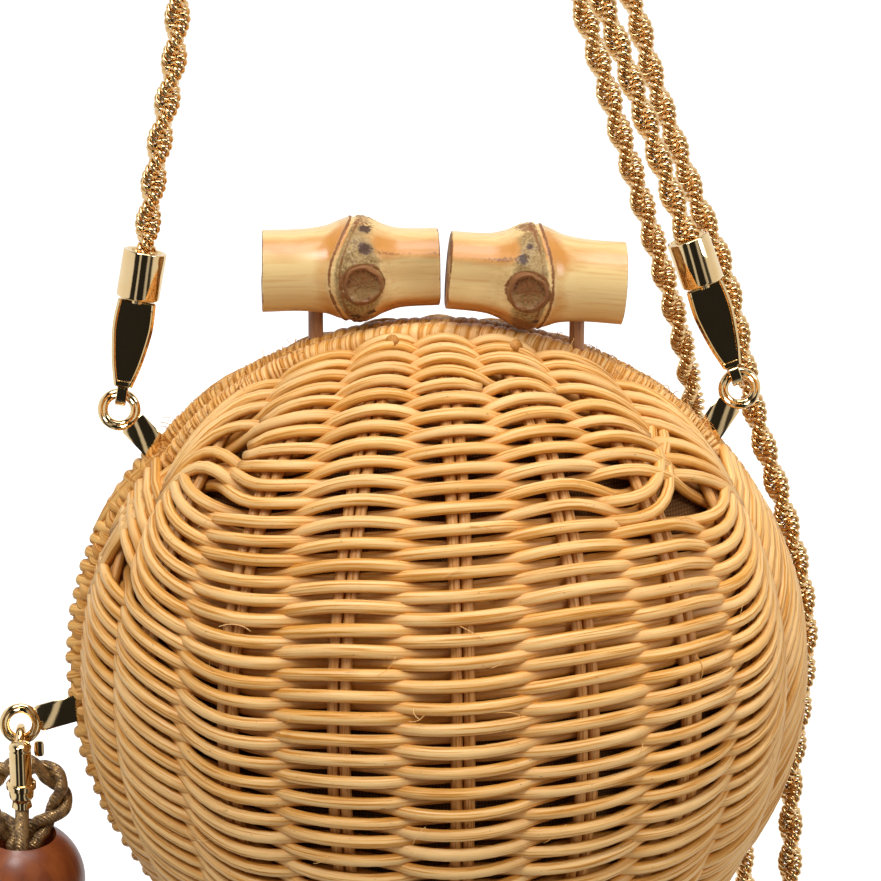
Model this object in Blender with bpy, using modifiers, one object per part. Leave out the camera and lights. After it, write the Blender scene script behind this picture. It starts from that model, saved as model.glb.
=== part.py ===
"""Ball-shaped woven clutch that hangs from a rope-chain strap.

The bag is a clamshell: a front and a rear dome, each woven over stakes and edged with a whipped rim,
hinged at the bottom and closed at the top by two bamboo bars that stand end to end.
The origin is the centre of the bar that the doubled chain hangs over. +X is right, +Y is back, +Z is up.
"""

import math

import bmesh
import bpy
from mathutils import Matrix, Vector

MM = 0.001

# Where things are, from the hanging bar's centre
bag_centre_x = 22.3 * MM
bag_plane_y = -12.0 * MM
bag_centre_z = -322.0 * MM
hanging_radius = 12.0 * MM

# The bag's outline, and the gap that touching pieces keep
bag_half_width = 90.0 * MM
bag_upper_height = 84.5 * MM
bag_lower_height = 89.0 * MM
bag_half_depth = 75.0 * MM
gap = 0.3 * MM
overrun = 2.0 * MM
merge_distance = 0.01 * MM
weld_distance = 0.001 * MM

# Baskets and linings
basket_set_back = 1.4 * MM
basket_wall = 3.6 * MM
lining_wall = 1.2 * MM
shell_segments = 24
shell_rings = 12
weave_rib_pitch = 13.0 * MM
weave_relief = 2.4 * MM
weave_columns = 10

# Rims
rim_depth = 7.0 * MM
rim_height = 7.6 * MM
rim_round = 1.6 * MM
rim_steps = 6
quarter_handle_share = 0.5523

# Bottom hinge
hinge_length = 30.0 * MM
hinge_leaf_thickness = 1.0 * MM
hinge_leaf_depth = 6.0 * MM
hinge_pin_radius = 0.9 * MM
hinge_knuckle_radius = 1.9 * MM
hinge_pin_head_radius = 1.5 * MM
hinge_pin_head = 0.8 * MM
hinge_middle_share = 0.4

# Bamboo knobs and their posts
post_radius = 1.8 * MM
post_seat = 5.0 * MM
knob_radius = 9.8 * MM
knob_swell_radius = 12.7 * MM
knob_neck_radius = 9.2 * MM
knob_edge = 0.5 * MM
knob_groove = 0.35 * MM
knob_bud_radius = 4.5 * MM
knob_bud_lip = 0.9 * MM
knob_bud_dish = 0.7 * MM
knob_bud_height = 0.5 * MM
knob_node_share = 0.55
left_knob_start_x = -41.4 * MM
left_knob_length = 42.1 * MM
left_knob_above_top = 11.6 * MM
left_post_x = -28.7 * MM
left_knob_tilt = math.radians(-1.0)
right_knob_start_x = 2.4 * MM
right_knob_length = 41.8 * MM
right_knob_above_top = 10.6 * MM
right_post_x = 33.1 * MM
right_knob_tilt = math.radians(5.0)
bud_below = math.radians(10.0)

# Down a knob, as shares of its length: the share of the node's rise, of its groove and of its waist's fall
knob_rise_shares = ((0.22, 0.0), (0.36, 0.25), (0.43, 0.65))
knob_groove_shares = ((0.475, 1.0), (0.49, 2.0), (0.505, 0.5), (knob_node_share, 0.0), (0.61, 1.0))
knob_waist_shares = ((0.68, 0.45), (0.78, 0.1))

# Lugs: a flat strip with a round eye
eye_radius = 3.9 * MM
eye_wire = 1.2 * MM
lug_width = 6.5 * MM
lug_thickness = 1.2 * MM
lug_round = 0.25 * MM
lug_plane_y = 0.9 * MM
lug_seat = 5.0 * MM
left_lug_around = math.radians(139.368)
left_lug_free_length = 10.951 * MM
left_lug_angle = math.radians(-47.5)
right_lug_around = math.radians(42.522)
right_lug_free_length = 11.567 * MM
right_lug_angle = math.radians(-124.0)
charm_lug_around = math.radians(-172.847)
charm_lug_free_length = 12.038 * MM
charm_lug_angle = math.radians(15.5)

# Strap ends: plate with its curl and shank, and the ferrule
curl_inner_radius = 1.9 * MM
curl_wall = 1.0 * MM
curl_length = 2.9 * MM
plate_length = 22.0 * MM
plate_thickness = 1.8 * MM
plate_top_width = 9.0 * MM
plate_widest = 9.6 * MM
plate_foot_width = 4.3 * MM
plate_border = 0.8 * MM
plate_recess = 0.3 * MM
plate_round = 0.2 * MM
shank_radius = 1.4 * MM
shank_head_radius = 2.7 * MM
shank_head = 1.2 * MM
neck_length = 1.6 * MM
ferrule_radius = 5.15 * MM
ferrule_length = 11.6 * MM
ferrule_floor = 2.0 * MM
ferrule_bore_radius = 3.9 * MM
ferrule_round = 0.7 * MM
ferrule_corner_share = 0.3
left_pull_x = -6.816 * MM
right_pull_x = 3.186 * MM

# Up a plate, as shares of its height: the share of its widening from the foot to its widest
plate_widening_shares = ((0.0, 0.0), (0.30, 0.55), (0.66, 1.0))

# Chain
chain_radius = 3.2 * MM
chain_spacing = 21.0 * MM
chain_strand_offset = 4.2 * MM
bar_steps = 4

# Charm, from the lowest point of its lug's eye
charm_lean = math.radians(9.0)
hook_loop_radius = 3.8 * MM
hook_loop_drop = 1.1 * MM
hook_wire = 1.1 * MM
hook_steps = 12
barrel_set_forward = 4.6 * MM
barrel_radius = 2.8 * MM
barrel_crown_shares = ((0.0, 0.35), (0.6, 0.2), (1.0, -0.4))
barrel_top_z = 0.4 * MM
barrel_bottom_z = -10.8 * MM
barrel_bore_radius = 1.7 * MM
barrel_bore_depth = 4.4 * MM
barrel_flange_radius = 3.65 * MM
barrel_flange_height = 2.6 * MM
barrel_flange_lip = 1.0 * MM
hook_tip_angle = math.radians(-38.0)
gate_wire = 0.9 * MM
gate_pivot_out = 2.6 * MM
gate_pivot_z = -6.0 * MM
gate_slot_below = 1.3 * MM
gate_slot_above = 3.0 * MM
gate_side_share = 0.6
lever_wire = 0.8 * MM
lever_reach = 6.6 * MM
lever_height_share = 0.86
thumb_width = 2.4 * MM
thumb_height = 4.0 * MM
thumb_thickness = 0.9 * MM
thumb_round = 0.25 * MM
swivel_shank_radius = 1.3 * MM
swivel_head_radius = 3.0 * MM
swivel_head = 2.2 * MM
swivel_cup_radius = 2.5 * MM
swivel_cup = 2.6 * MM
rope_radius = 1.7 * MM
rope_strand_radius = 1.1 * MM
rope_twist_radius = 1.55 * MM
rope_ring_top_z = -8.3 * MM
rope_ring_top_y = 7.6 * MM
rope_ring_foot_y = -0.6 * MM
rope_ring_half_width = 9.2 * MM
rope_ring_length = 22.2 * MM
rope_ring_turns = 6
rope_ring_steps = 4
stem_forward = 5.6 * MM
ball_radius = 14.8 * MM
ball_centre_z = -35.7 * MM
ball_hole_radius = 8.0 * MM
ball_hole_depth = 13.4 * MM
ball_segments = 22
ball_rings = 14
ball_tilt = math.radians(2.0)

# The rope ring's right side from top to foot, as shares of its half width and its length
rope_ring_shares = (
    (0.0, 0.0), (0.61, 0.07), (1.0, 0.25), (0.96, 0.45), (0.59, 0.62), (0.33, 0.76), (0.28, 0.89), (0.0, 1.0),
)

bag_centre = Vector((bag_centre_x, bag_plane_y, bag_centre_z))


def clear_scene():
    for old in list(bpy.data.objects):
        bpy.data.objects.remove(old, do_unlink=True)


def new_collection(name, hidden=False):
    made = bpy.data.collections.new(name)
    bpy.context.scene.collection.children.link(made)
    made.hide_render = hidden
    return made


clear_scene()
clutch = new_collection("woven_clutch")
cutters = new_collection("cutters", hidden=True)


# Finishes: colour, roughness and metallic share, from which each piece gets a material of its own

reed_front = ((0.76, 0.50, 0.22), 0.55, 0.0)
reed_rear = ((0.70, 0.38, 0.10), 0.6, 0.0)
whipping_front = ((0.80, 0.53, 0.24), 0.5, 0.0)
whipping_rear = ((0.78, 0.46, 0.15), 0.5, 0.0)
dark_cloth = ((0.05, 0.03, 0.02), 0.9, 0.0)
bamboo = ((0.86, 0.66, 0.38), 0.35, 0.0)
post_wood = ((0.36, 0.20, 0.10), 0.6, 0.0)
gold = ((0.83, 0.62, 0.30), 0.12, 1.0)
chain_gold = ((0.80, 0.58, 0.28), 0.2, 1.0)
hinge_brass = ((0.72, 0.52, 0.24), 0.3, 1.0)
bronze_rope = ((0.36, 0.25, 0.13), 0.4, 0.5)
ball_wood = ((0.40, 0.15, 0.05), 0.35, 0.0)


def material(name, finish):
    colour, roughness, metallic = finish
    made = bpy.data.materials.new(name)
    made.use_nodes = True
    shader = made.node_tree.nodes["Principled BSDF"]
    shader.inputs["Base Color"].default_value = (*colour, 1.0)
    shader.inputs["Roughness"].default_value = roughness
    shader.inputs["Metallic"].default_value = metallic
    made.diffuse_color = (*colour, 1.0)
    return made


# Shared building steps

def place(obj, name, finish, spot=(0, 0, 0), parent=None):
    obj.name = name
    obj.data.name = name
    if finish is not None:
        obj.data.materials.clear()
        obj.data.materials.append(material(name, finish))
    obj.location = spot
    obj.parent = parent
    return obj


def new_object(name, data, finish, spot=(0, 0, 0), parent=None):
    obj = bpy.data.objects.new(name, data)
    clutch.objects.link(obj)
    return place(obj, name, finish, spot, parent)


def as_helper(obj):
    """Turns an object into a cutter or a piece to be joined, which is neither rendered nor read."""
    for owner in list(obj.users_collection):
        owner.objects.unlink(obj)
    cutters.objects.link(obj)
    obj.hide_render = True
    obj.display_type = "WIRE"
    return obj


def shade(mesh):
    mesh.shade_smooth()
    mesh.set_sharp_from_angle(angle=math.radians(35))


def mesh_from(bm, name):
    bmesh.ops.recalc_face_normals(bm, faces=bm.faces)
    mesh = bpy.data.meshes.new(name)
    bm.to_mesh(mesh)
    bm.free()
    shade(mesh)
    return mesh


def frame_at(name, spot, rotation=(0, 0, 0), parent=None):
    empty = bpy.data.objects.new(name, None)
    clutch.objects.link(empty)
    empty.location = spot
    empty.rotation_euler = rotation
    empty.parent = parent
    return empty


def box(name, size, finish=None, spot=(0, 0, 0), parent=None, rounding=0.0):
    bm = bmesh.new()
    bmesh.ops.create_cube(bm, size=1.0)
    bmesh.ops.scale(bm, vec=size, verts=bm.verts)
    obj = new_object(name, mesh_from(bm, name), finish, spot, parent)
    if rounding:
        edge = obj.modifiers.new("rounded edges", "BEVEL")
        edge.width = rounding
        edge.segments = 2
    return obj


def rod(name, radius, length, finish=None, spot=(0, 0, 0), parent=None, lying=False, sides=14):
    """A round bar centred on its place, upright or lying along X."""
    turn = Matrix.Rotation(math.pi / 2 if lying else 0.0, 4, "Y")
    bm = bmesh.new()
    bmesh.ops.create_cone(
        bm, cap_ends=True, segments=sides, radius1=radius, radius2=radius, depth=length, matrix=turn
    )
    return new_object(name, mesh_from(bm, name), finish, spot, parent)


def turned(name, profile, finish=None, spot=(0, 0, 0), parent=None, steps=20, closed=False, lying=False):
    """A profile of (radius, height) pairs, top to bottom on its outer side, turned about its axis."""
    mesh = bpy.data.meshes.new(name)
    edges = [(i, i + 1) for i in range(len(profile) - 1)]
    if closed:
        edges.append((len(profile) - 1, 0))
    mesh.from_pydata([(radius, 0, height) for radius, height in profile], edges, [])
    obj = new_object(name, mesh, finish, spot, parent)
    screw = obj.modifiers.new("turned", "SCREW")
    screw.steps = steps
    screw.render_steps = steps
    screw.use_merge_vertices = True
    screw.merge_threshold = merge_distance
    screw.use_smooth_shade = True
    if lying:
        obj.rotation_euler = (0, math.pi / 2, 0)
    return obj


def tube(name, points, radius, finish=None, parent=None, cyclic=False, resolution=2):
    data = bpy.data.curves.new(name, "CURVE")
    data.dimensions = "3D"
    data.bevel_depth = radius
    data.bevel_resolution = resolution
    data.use_fill_caps = True
    line = data.splines.new("POLY")
    line.points.add(len(points) - 1)
    for knot, point in zip(line.points, points):
        knot.co = (*point, 1.0)
    line.use_cyclic_u = cyclic
    line.use_smooth = True
    return new_object(name, data, finish, parent=parent)


def made_mesh(obj):
    """The same object as a mesh, with a curve's caps welded, so that it can be cut or joined."""
    bpy.context.view_layer.update()
    graph = bpy.context.evaluated_depsgraph_get()
    name = obj.name
    mesh = bpy.data.meshes.new_from_object(obj.evaluated_get(graph))
    bm = bmesh.new()
    bm.from_mesh(mesh)
    bmesh.ops.remove_doubles(bm, verts=bm.verts, dist=weld_distance)
    bmesh.ops.recalc_face_normals(bm, faces=bm.faces)
    bm.to_mesh(mesh)
    bm.free()
    finish = obj.data.materials[0] if obj.data.materials else None
    solid = bpy.data.objects.new(name + "_solid", mesh)
    clutch.objects.link(solid)
    solid.parent = obj.parent
    solid.matrix_world = obj.matrix_world.copy()
    bpy.data.objects.remove(obj, do_unlink=True)
    solid.name = name
    mesh.name = name
    if finish:
        mesh.materials.clear()
        mesh.materials.append(finish)
    shade(mesh)
    return solid


def combine(obj, other, operation):
    step = obj.modifiers.new(operation.lower(), "BOOLEAN")
    step.operation = operation
    step.solver = "EXACT"
    step.object = as_helper(other)


def cut(obj, cutter):
    combine(obj, cutter, "DIFFERENCE")


def join(obj, other):
    combine(obj, other, "UNION")


def flat_outline(name, outlines, thickness, rounding, finish=None, parent=None):
    """Closed splines in the XZ plane, filled, with their holes, and given a thickness along Y.

    Each outline is a list of (point, handle before, handle after). The rounding stands out past it.
    """
    data = bpy.data.curves.new(name, "CURVE")
    data.dimensions = "2D"
    data.fill_mode = "BOTH"
    data.extrude = thickness / 2 - rounding
    data.bevel_depth = rounding
    data.bevel_resolution = 1
    data.resolution_u = rim_steps
    for outline in outlines:
        line = data.splines.new("BEZIER")
        line.bezier_points.add(len(outline) - 1)
        line.use_cyclic_u = True
        for knot, (point, before, after) in zip(line.bezier_points, outline):
            knot.handle_left_type = "FREE"
            knot.handle_right_type = "FREE"
            knot.co = (*point, 0)
            knot.handle_left = (*before, 0)
            knot.handle_right = (*after, 0)
    obj = new_object(name, data, finish, parent=parent)
    obj.rotation_euler = (math.pi / 2, 0, 0)
    return obj


def bag_outline(inset):
    """The bag's outline in four quarter ellipses, drawn in by the inset: a flatter top than bottom."""
    half = bag_half_width - inset
    top = bag_upper_height - inset
    foot = bag_lower_height - inset
    reach = quarter_handle_share * half
    return [
        ((half, 0), (half, -quarter_handle_share * foot), (half, quarter_handle_share * top)),
        ((0, top), (reach, top), (-reach, top)),
        ((-half, 0), (-half, quarter_handle_share * top), (-half, -quarter_handle_share * foot)),
        ((0, -foot), (-reach, -foot), (reach, -foot)),
    ]


def outline_height(x):
    """How far above the bag's centre the rim's crest is at this x."""
    return bag_upper_height * math.sqrt(1 - (x / bag_half_width) ** 2)


# Body frames: each moving piece hangs from an empty on its joint's axis

def along_line(tilt, distance):
    """This far up a line in the seam's plane that leans right by the tilt."""
    return Vector((math.sin(tilt), 0, math.cos(tilt))) * distance


def eye_place(around, angle, free_length):
    """An eye's centre from the bag's centre. Its lug leaves the rim's edge this far around, at this angle."""
    height = bag_upper_height if math.sin(around) > 0 else bag_lower_height
    edge = Vector((bag_half_width * math.cos(around), lug_plane_y, height * math.sin(around)))
    return edge - Vector((math.cos(angle), 0, math.sin(angle))) * free_length


left_eye = bag_centre + eye_place(left_lug_around, left_lug_angle, left_lug_free_length)
right_eye = bag_centre + eye_place(right_lug_around, right_lug_angle, right_lug_free_length)
charm_eye = bag_centre + eye_place(charm_lug_around, charm_lug_angle, charm_lug_free_length)
left_end_tilt = math.atan2(left_pull_x - left_eye.x, -left_eye.z)
right_end_tilt = math.atan2(right_pull_x - right_eye.x, -right_eye.z)
left_contact = left_eye + along_line(left_end_tilt, eye_radius)
right_contact = right_eye + along_line(right_end_tilt, eye_radius)
hinge_leaf_z = -bag_lower_height - gap - hinge_leaf_thickness / 2
hinge_pin_z = -bag_lower_height - 2 * gap - hinge_knuckle_radius
hinge_spot = bag_centre + Vector((0, 0, hinge_pin_z))
rear_half = frame_at("rear_half", left_contact)
front_half = frame_at("front_half", hinge_spot - left_contact, parent=rear_half)


def in_rear(x, y, z):
    """A place given from the bag's centre, as a location under the rear half's empty."""
    return bag_centre + Vector((x, y, z)) - left_contact


def in_front(x, y, z):
    """A place given from the bag's centre, as a location under the front half's empty."""
    return bag_centre + Vector((x, y, z)) - hinge_spot


# Baskets and linings: half an ellipsoid with a wall, cut flat where it meets the rim

def bag_height_at(z):
    return bag_upper_height if z > 0 else bag_lower_height


def ellipsoid(inset, halved_to=0):
    """The bag's ball drawn in by the inset, whole or only its half on one side of the seam."""
    bm = bmesh.new()
    poles_along_y = Matrix.Rotation(math.pi / 2, 4, "X")
    bmesh.ops.create_uvsphere(
        bm, u_segments=shell_segments, v_segments=shell_rings, radius=1.0, matrix=poles_along_y
    )
    if halved_to:
        whole = bm.verts[:] + bm.edges[:] + bm.faces[:]
        facing = (0, -halved_to, 0)
        bmesh.ops.bisect_plane(bm, geom=whole, plane_co=(0, 0, 0), plane_no=facing, clear_outer=True)
    for vert in bm.verts:
        height = bag_height_at(vert.co.z)
        vert.co.x *= bag_half_width - inset
        vert.co.y *= bag_half_depth - inset
        vert.co.z *= height - inset
    return bm


def shell_object(name, bm, finish, parent, spot):
    bmesh.ops.recalc_face_normals(bm, faces=bm.faces)
    outward = sum(face.normal.dot(face.calc_center_median()) for face in bm.faces)
    if outward < 0:
        bmesh.ops.reverse_faces(bm, faces=bm.faces)
    mesh = bpy.data.meshes.new(name)
    bm.to_mesh(mesh)
    bm.free()
    shade(mesh)
    return new_object(name, mesh, finish, spot, parent)


def cut_seat(shell, parent, spot):
    """Takes off what lies in the rim's place, next to the seam."""
    seat = rim_depth + gap * 2
    across = 3 * bag_half_width
    cut(shell, box(shell.name + "_seat", (across, 2 * seat, across), spot=spot, parent=parent))


def weave_inset(row, column):
    """Odd rows are the crests of the broad ribs, which pass over and under the columns in turn."""
    if row % 2 == 0:
        return basket_set_back + weave_relief / 2
    passes_over = (row // 2 + column) % 2
    return basket_set_back - weave_relief / 2 if passes_over else basket_set_back


def woven_lump(side):
    """Half the ball as one closed lump, its skin drawn out and in with the weave's main ribs."""
    mean_height = (bag_upper_height + bag_lower_height) / 2
    rows = 2 * max(2, round(math.pi * mean_height / weave_rib_pitch))
    bm = bmesh.new()
    grid = []
    for row in range(rows + 1):
        rise = math.pi * (row / rows - 1 / 2)
        columns = 0 if row in (0, rows) else weave_columns
        line = []
        for column in range(columns + 1):
            turn = math.pi * (column / weave_columns - 1 / 2)
            inset = weave_inset(row, column)
            line.append(bm.verts.new((
                math.sin(turn) * math.cos(rise) * (bag_half_width - inset),
                side * math.cos(turn) * math.cos(rise) * (bag_half_depth - inset),
                math.sin(rise) * (bag_height_at(rise) - inset),
            )))
        grid.append(line)
    for lower, upper in zip(grid, grid[1:]):
        for column in range(weave_columns):
            corners = [lower[min(column, len(lower) - 1)], lower[min(column + 1, len(lower) - 1)]]
            corners += [upper[min(column + 1, len(upper) - 1)], upper[min(column, len(upper) - 1)]]
            bm.faces.new(dict.fromkeys(corners))
    bm.faces.new([line[0] for line in grid] + [line[-1] for line in grid[-2:0:-1]])
    return bm


def basket(name, side, finish, parent, spot):
    """side is -1 for the front and 1 for the rear."""
    shell = shell_object(name, woven_lump(side), finish, parent, spot)
    bore = ellipsoid(basket_set_back + basket_wall)
    cut(shell, shell_object(name + "_bore", bore, None, parent, spot))
    cut_seat(shell, parent, spot)
    return shell


def lining(name, side, finish, parent, spot):
    inset = basket_set_back + basket_wall + gap
    shell = shell_object(name, ellipsoid(inset, halved_to=side), finish, parent, spot)
    skin = shell.modifiers.new("wall", "SOLIDIFY")
    skin.thickness = lining_wall
    skin.offset = -1
    cut_seat(shell, parent, spot)
    return shell


for_front = (-1, front_half, in_front(0, 0, 0))
for_rear = (1, rear_half, in_rear(0, 0, 0))

for place_name, (side, body, spot), weave in (
    ("front", for_front, reed_front),
    ("rear", for_rear, reed_rear),
):
    basket(place_name + "_basket", side, weave, body, spot)
    lining(place_name + "_lining", side, dark_cloth, body, spot)


# Rims: a hoop on each side of the seam

def rim_hoop(name, side, finish, parent, spot):
    outlines = [bag_outline(rim_round), bag_outline(rim_height - rim_round)]
    hoop = flat_outline(name, outlines, rim_depth, rim_round, finish, parent)
    hoop.location = spot + Vector((0, side * (gap + rim_depth / 2), 0))
    return made_mesh(hoop)


front_rim = rim_hoop("front_rim", -1, whipping_front, front_half, in_front(0, 0, 0))
rear_rim = rim_hoop("rear_rim", 1, whipping_rear, rear_half, in_rear(0, 0, 0))


# Lugs: each has its tail in a pocket of the rear rim's seam face

def lug(name, eye, angle, free_length, finish):
    spot = eye - left_contact
    reach = free_length + lug_seat
    strip_length = reach - eye_radius
    holder = frame_at(name + "_line", spot, (0, -angle, 0), rear_half)
    bm = bmesh.new()
    bmesh.ops.create_cube(bm, size=1.0)
    bmesh.ops.scale(bm, vec=(strip_length, lug_thickness, lug_width), verts=bm.verts)
    strip = new_object(name, mesh_from(bm, name), finish, (eye_radius + strip_length / 2, 0, 0), holder)
    edge = strip.modifiers.new("rounded edges", "BEVEL")
    edge.width = lug_round
    edge.segments = 1
    bpy.ops.mesh.primitive_torus_add(
        major_radius=eye_radius, minor_radius=eye_wire, major_segments=24, minor_segments=8
    )
    eye = bpy.context.object
    for owner in list(eye.users_collection):
        owner.objects.unlink(eye)
    clutch.objects.link(eye)
    place(eye, name + "_eye", None, parent=holder)
    eye.rotation_euler = (math.pi / 2, 0, 0)
    join(strip, eye)
    pocket_size = (
        lug_seat + gap + overrun,
        lug_thickness + 2 * gap + overrun,
        lug_width + 2 * gap,
    )
    pocket_x = reach + gap - pocket_size[0] / 2
    pocket_y = lug_thickness / 2 + gap - pocket_size[1] / 2
    cut(rear_rim, box(name + "_pocket", pocket_size, spot=(pocket_x, pocket_y, 0), parent=holder))
    return strip


lug("left_lug", left_eye, left_lug_angle, left_lug_free_length, gold)
lug("right_lug", right_eye, right_lug_angle, right_lug_free_length, gold)
lug("charm_lug", charm_eye, charm_lug_angle, charm_lug_free_length, gold)


# Bamboo knobs: a bar with its node, a groove and the scar of a bud, on a post in its rim

def knob_profile(length):
    """Radii along the bar from its start to its far end: nearly straight, the node's swell, then a waist."""
    rise = knob_swell_radius - knob_radius
    fall = knob_swell_radius - knob_neck_radius
    points = [(0, 0), (knob_radius - knob_edge, 0), (knob_radius, -knob_edge)]
    points += [(knob_radius + share * rise, -down * length) for down, share in knob_rise_shares]
    points += [
        (knob_swell_radius - share * knob_groove, -down * length) for down, share in knob_groove_shares
    ]
    points += [(knob_neck_radius + share * fall, -down * length) for down, share in knob_waist_shares]
    points += [(knob_neck_radius, -length + knob_edge), (knob_neck_radius - knob_edge, -length), (0, -length)]
    return points


def knob(name, start_x, length, above_top, post_x, tilt, side, mirrored, parent, to_body):
    """side is the rim that carries it: -1 front, 1 rear. The profile starts at the end away from the node."""
    height = bag_upper_height + above_top
    depth = side * (gap + rim_depth / 2)
    middle = start_x + length / 2
    holder = frame_at(name + "_line", to_body(middle, depth, height), (0, tilt, 0), parent)
    bar = turned(name, knob_profile(length), bamboo, parent=holder, steps=18)
    facing = 1 if mirrored else -1
    bar.rotation_euler = (0, facing * math.pi / 2, 0)
    bar.location = (facing * length / 2, 0, 0)
    node_x = bar.location.x - facing * knob_node_share * length
    bud_profile = [
        (0, -knob_bud_dish),
        (knob_bud_radius - knob_bud_lip, 0),
        (knob_bud_radius - knob_bud_lip / 2, knob_bud_height),
        (knob_bud_radius, 0),
        (knob_bud_radius, -2 * overrun),
        (0, -2 * overrun),
    ]
    bud = turned(name + "_bud", bud_profile, parent=holder, steps=20)
    bud.rotation_euler = (math.pi / 2 + bud_below, 0, 0)
    out = knob_swell_radius - knob_bud_dish
    bud.location = (node_x, -out * math.cos(bud_below), -out * math.sin(bud_below))
    join(bar, bud)
    socket_depth = knob_radius - post_seat
    post_local_x = post_x - middle
    axis_z = height - math.sin(tilt) * post_local_x
    post_top = axis_z - socket_depth
    post_foot = outline_height(post_x) - post_seat
    post_length = post_top - post_foot
    post_spot = to_body(post_x, depth, post_foot + post_length / 2)
    rod(name.replace("knob", "post"), post_radius, post_length, post_wood, post_spot, parent, sides=16)
    hole = (post_radius + gap, post_length + 2 * gap)
    cut(bar, rod(name + "_hole", hole[0], hole[1], spot=post_spot, parent=parent, sides=16))
    rim = rear_rim if side > 0 else front_rim
    cut(rim, rod(name + "_rim_hole", hole[0], hole[1], spot=post_spot, parent=parent, sides=16))
    return bar


knob(
    "left_knob", left_knob_start_x, left_knob_length, left_knob_above_top, left_post_x, left_knob_tilt,
    side=1, mirrored=False, parent=rear_half, to_body=in_rear,
)
knob(
    "right_knob", right_knob_start_x, right_knob_length, right_knob_above_top, right_post_x, right_knob_tilt,
    side=-1, mirrored=True, parent=front_half, to_body=in_front,
)


# Bottom hinge: a leaf under each rim, with knuckles on one pin

def hinge_leaf(name, side, knuckles, parent, to_body):
    """side is -1 front, 1 rear. Each knuckle is (centre, length) along the pin."""
    near = hinge_knuckle_radius - gap
    depth = hinge_leaf_depth - near
    leaf_y = side * (near + depth / 2)
    leaf_size = (hinge_length, depth, hinge_leaf_thickness)
    leaf = box(name, leaf_size, hinge_brass, to_body(0, leaf_y, hinge_leaf_z), parent)
    for number, (centre, length) in enumerate(knuckles):
        spot = to_body(centre, 0, hinge_pin_z)
        knuckle_name = f"{name}_knuckle_{number}"
        join(leaf, rod(knuckle_name, hinge_knuckle_radius, length, None, spot, parent, lying=True))
        web_height = hinge_leaf_z - hinge_pin_z + hinge_leaf_thickness / 2
        web_depth = hinge_knuckle_radius
        web_y = side * (hinge_pin_radius + gap + web_depth / 2)
        web_spot = to_body(centre, web_y, hinge_pin_z + web_height / 2)
        join(leaf, box(f"{name}_web_{number}", (length, web_depth, web_height), spot=web_spot, parent=parent))
    bore = rod(name + "_bore", hinge_pin_radius + gap, hinge_length + overrun, parent=parent, lying=True)
    bore.location = to_body(0, 0, hinge_pin_z)
    cut(leaf, bore)
    return leaf


middle_knuckle = hinge_length * hinge_middle_share
end_knuckle = (hinge_length - middle_knuckle) / 2 - gap
end_centre = (hinge_length - end_knuckle) / 2
hinge_leaf("rear_hinge_leaf", 1, ((-end_centre, end_knuckle), (end_centre, end_knuckle)), rear_half, in_rear)
hinge_leaf("front_hinge_leaf", -1, ((0, middle_knuckle),), front_half, in_front)
pin_spot = in_rear(0, 0, hinge_pin_z)
pin_length = hinge_length + 2 * gap + hinge_pin_head
pin = rod("hinge_pin", hinge_pin_radius, pin_length, hinge_brass, pin_spot, rear_half, lying=True)
for end in (-1, 1):
    head_spot = pin_spot + Vector((end * (hinge_length / 2 + gap + hinge_pin_head / 2), 0, 0))
    head_name = f"pin_head_{end}"
    join(pin, rod(head_name, hinge_pin_head_radius, hinge_pin_head, None, head_spot, rear_half, lying=True))


# Strap ends: a plate whose curl holds the lug's eye and whose shank turns in the ferrule

def plate_outline(inset):
    """Half widths up the plate, drawn in by the inset, as smooth knots on the right and then the left."""
    low = curl_inner_radius + inset
    top = plate_length - inset
    widening = plate_widest - plate_foot_width
    right = [
        ((plate_foot_width + share * widening) / 2 - inset, low + up * (top - low))
        for up, share in plate_widening_shares
    ]
    right.append((plate_top_width / 2 - inset, top))
    left = [(-x, z) for x, z in reversed(right)]
    return right + left


def plate_solid(name, outline, thickness, finish, parent):
    data = bpy.data.curves.new(name, "CURVE")
    data.dimensions = "2D"
    data.fill_mode = "BOTH"
    data.extrude = thickness / 2 - plate_round
    data.bevel_depth = plate_round
    data.bevel_resolution = 0
    line = data.splines.new("POLY")
    points = outline_smoothed(outline)
    line.points.add(len(points) - 1)
    line.use_cyclic_u = True
    for knot, (x, z) in zip(line.points, points):
        knot.co = (x, z, 0, 1)
    obj = new_object(name, data, finish, parent=parent)
    obj.rotation_euler = (math.pi / 2, 0, 0)
    return made_mesh(obj)


def outline_smoothed(outline):
    """Each side as a smooth curve through its knots; the top and the foot stay straight."""
    count = len(outline) // 2
    sides = []
    for knots in (outline[:count], outline[count:]):
        sides += smooth_line([Vector((x, 0, z)) for x, z in knots], 3)
    return [(point.x, point.z) for point in sides]


def smooth_line(route, steps):
    """Points on a smooth curve through the route, with this many steps from each knot to the next."""
    points = []
    for i in range(len(route) - 1):
        before = route[max(i - 1, 0)]
        start = route[i]
        end = route[i + 1]
        after = route[min(i + 2, len(route) - 1)]
        count = steps if isinstance(steps, int) else max(1, round((end - start).length / steps))
        for k in range(count):
            points.append(curve_point(before, start, end, after, k / count))
    points.append(route[-1])
    return points


def curve_point(before, start, end, after, t):
    """A point of the smooth curve between start and end, whose slopes look to the knots before and after."""
    span = (end - start).length
    lead = (end - before) * (span / max((end - start).length + (start - before).length, span))
    tail = (after - start) * (span / max((after - end).length + (end - start).length, span))
    return (
        start * (2 * t**3 - 3 * t**2 + 1)
        + lead * (t**3 - 2 * t**2 + t)
        + end * (3 * t**2 - 2 * t**3)
        + tail * (t**3 - t**2)
    )


plate_y = -(curl_inner_radius + curl_wall - plate_thickness / 2)
ferrule_foot_z = plate_length + neck_length
chain_end_z = ferrule_foot_z + ferrule_floor + gap + shank_head + gap


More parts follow.
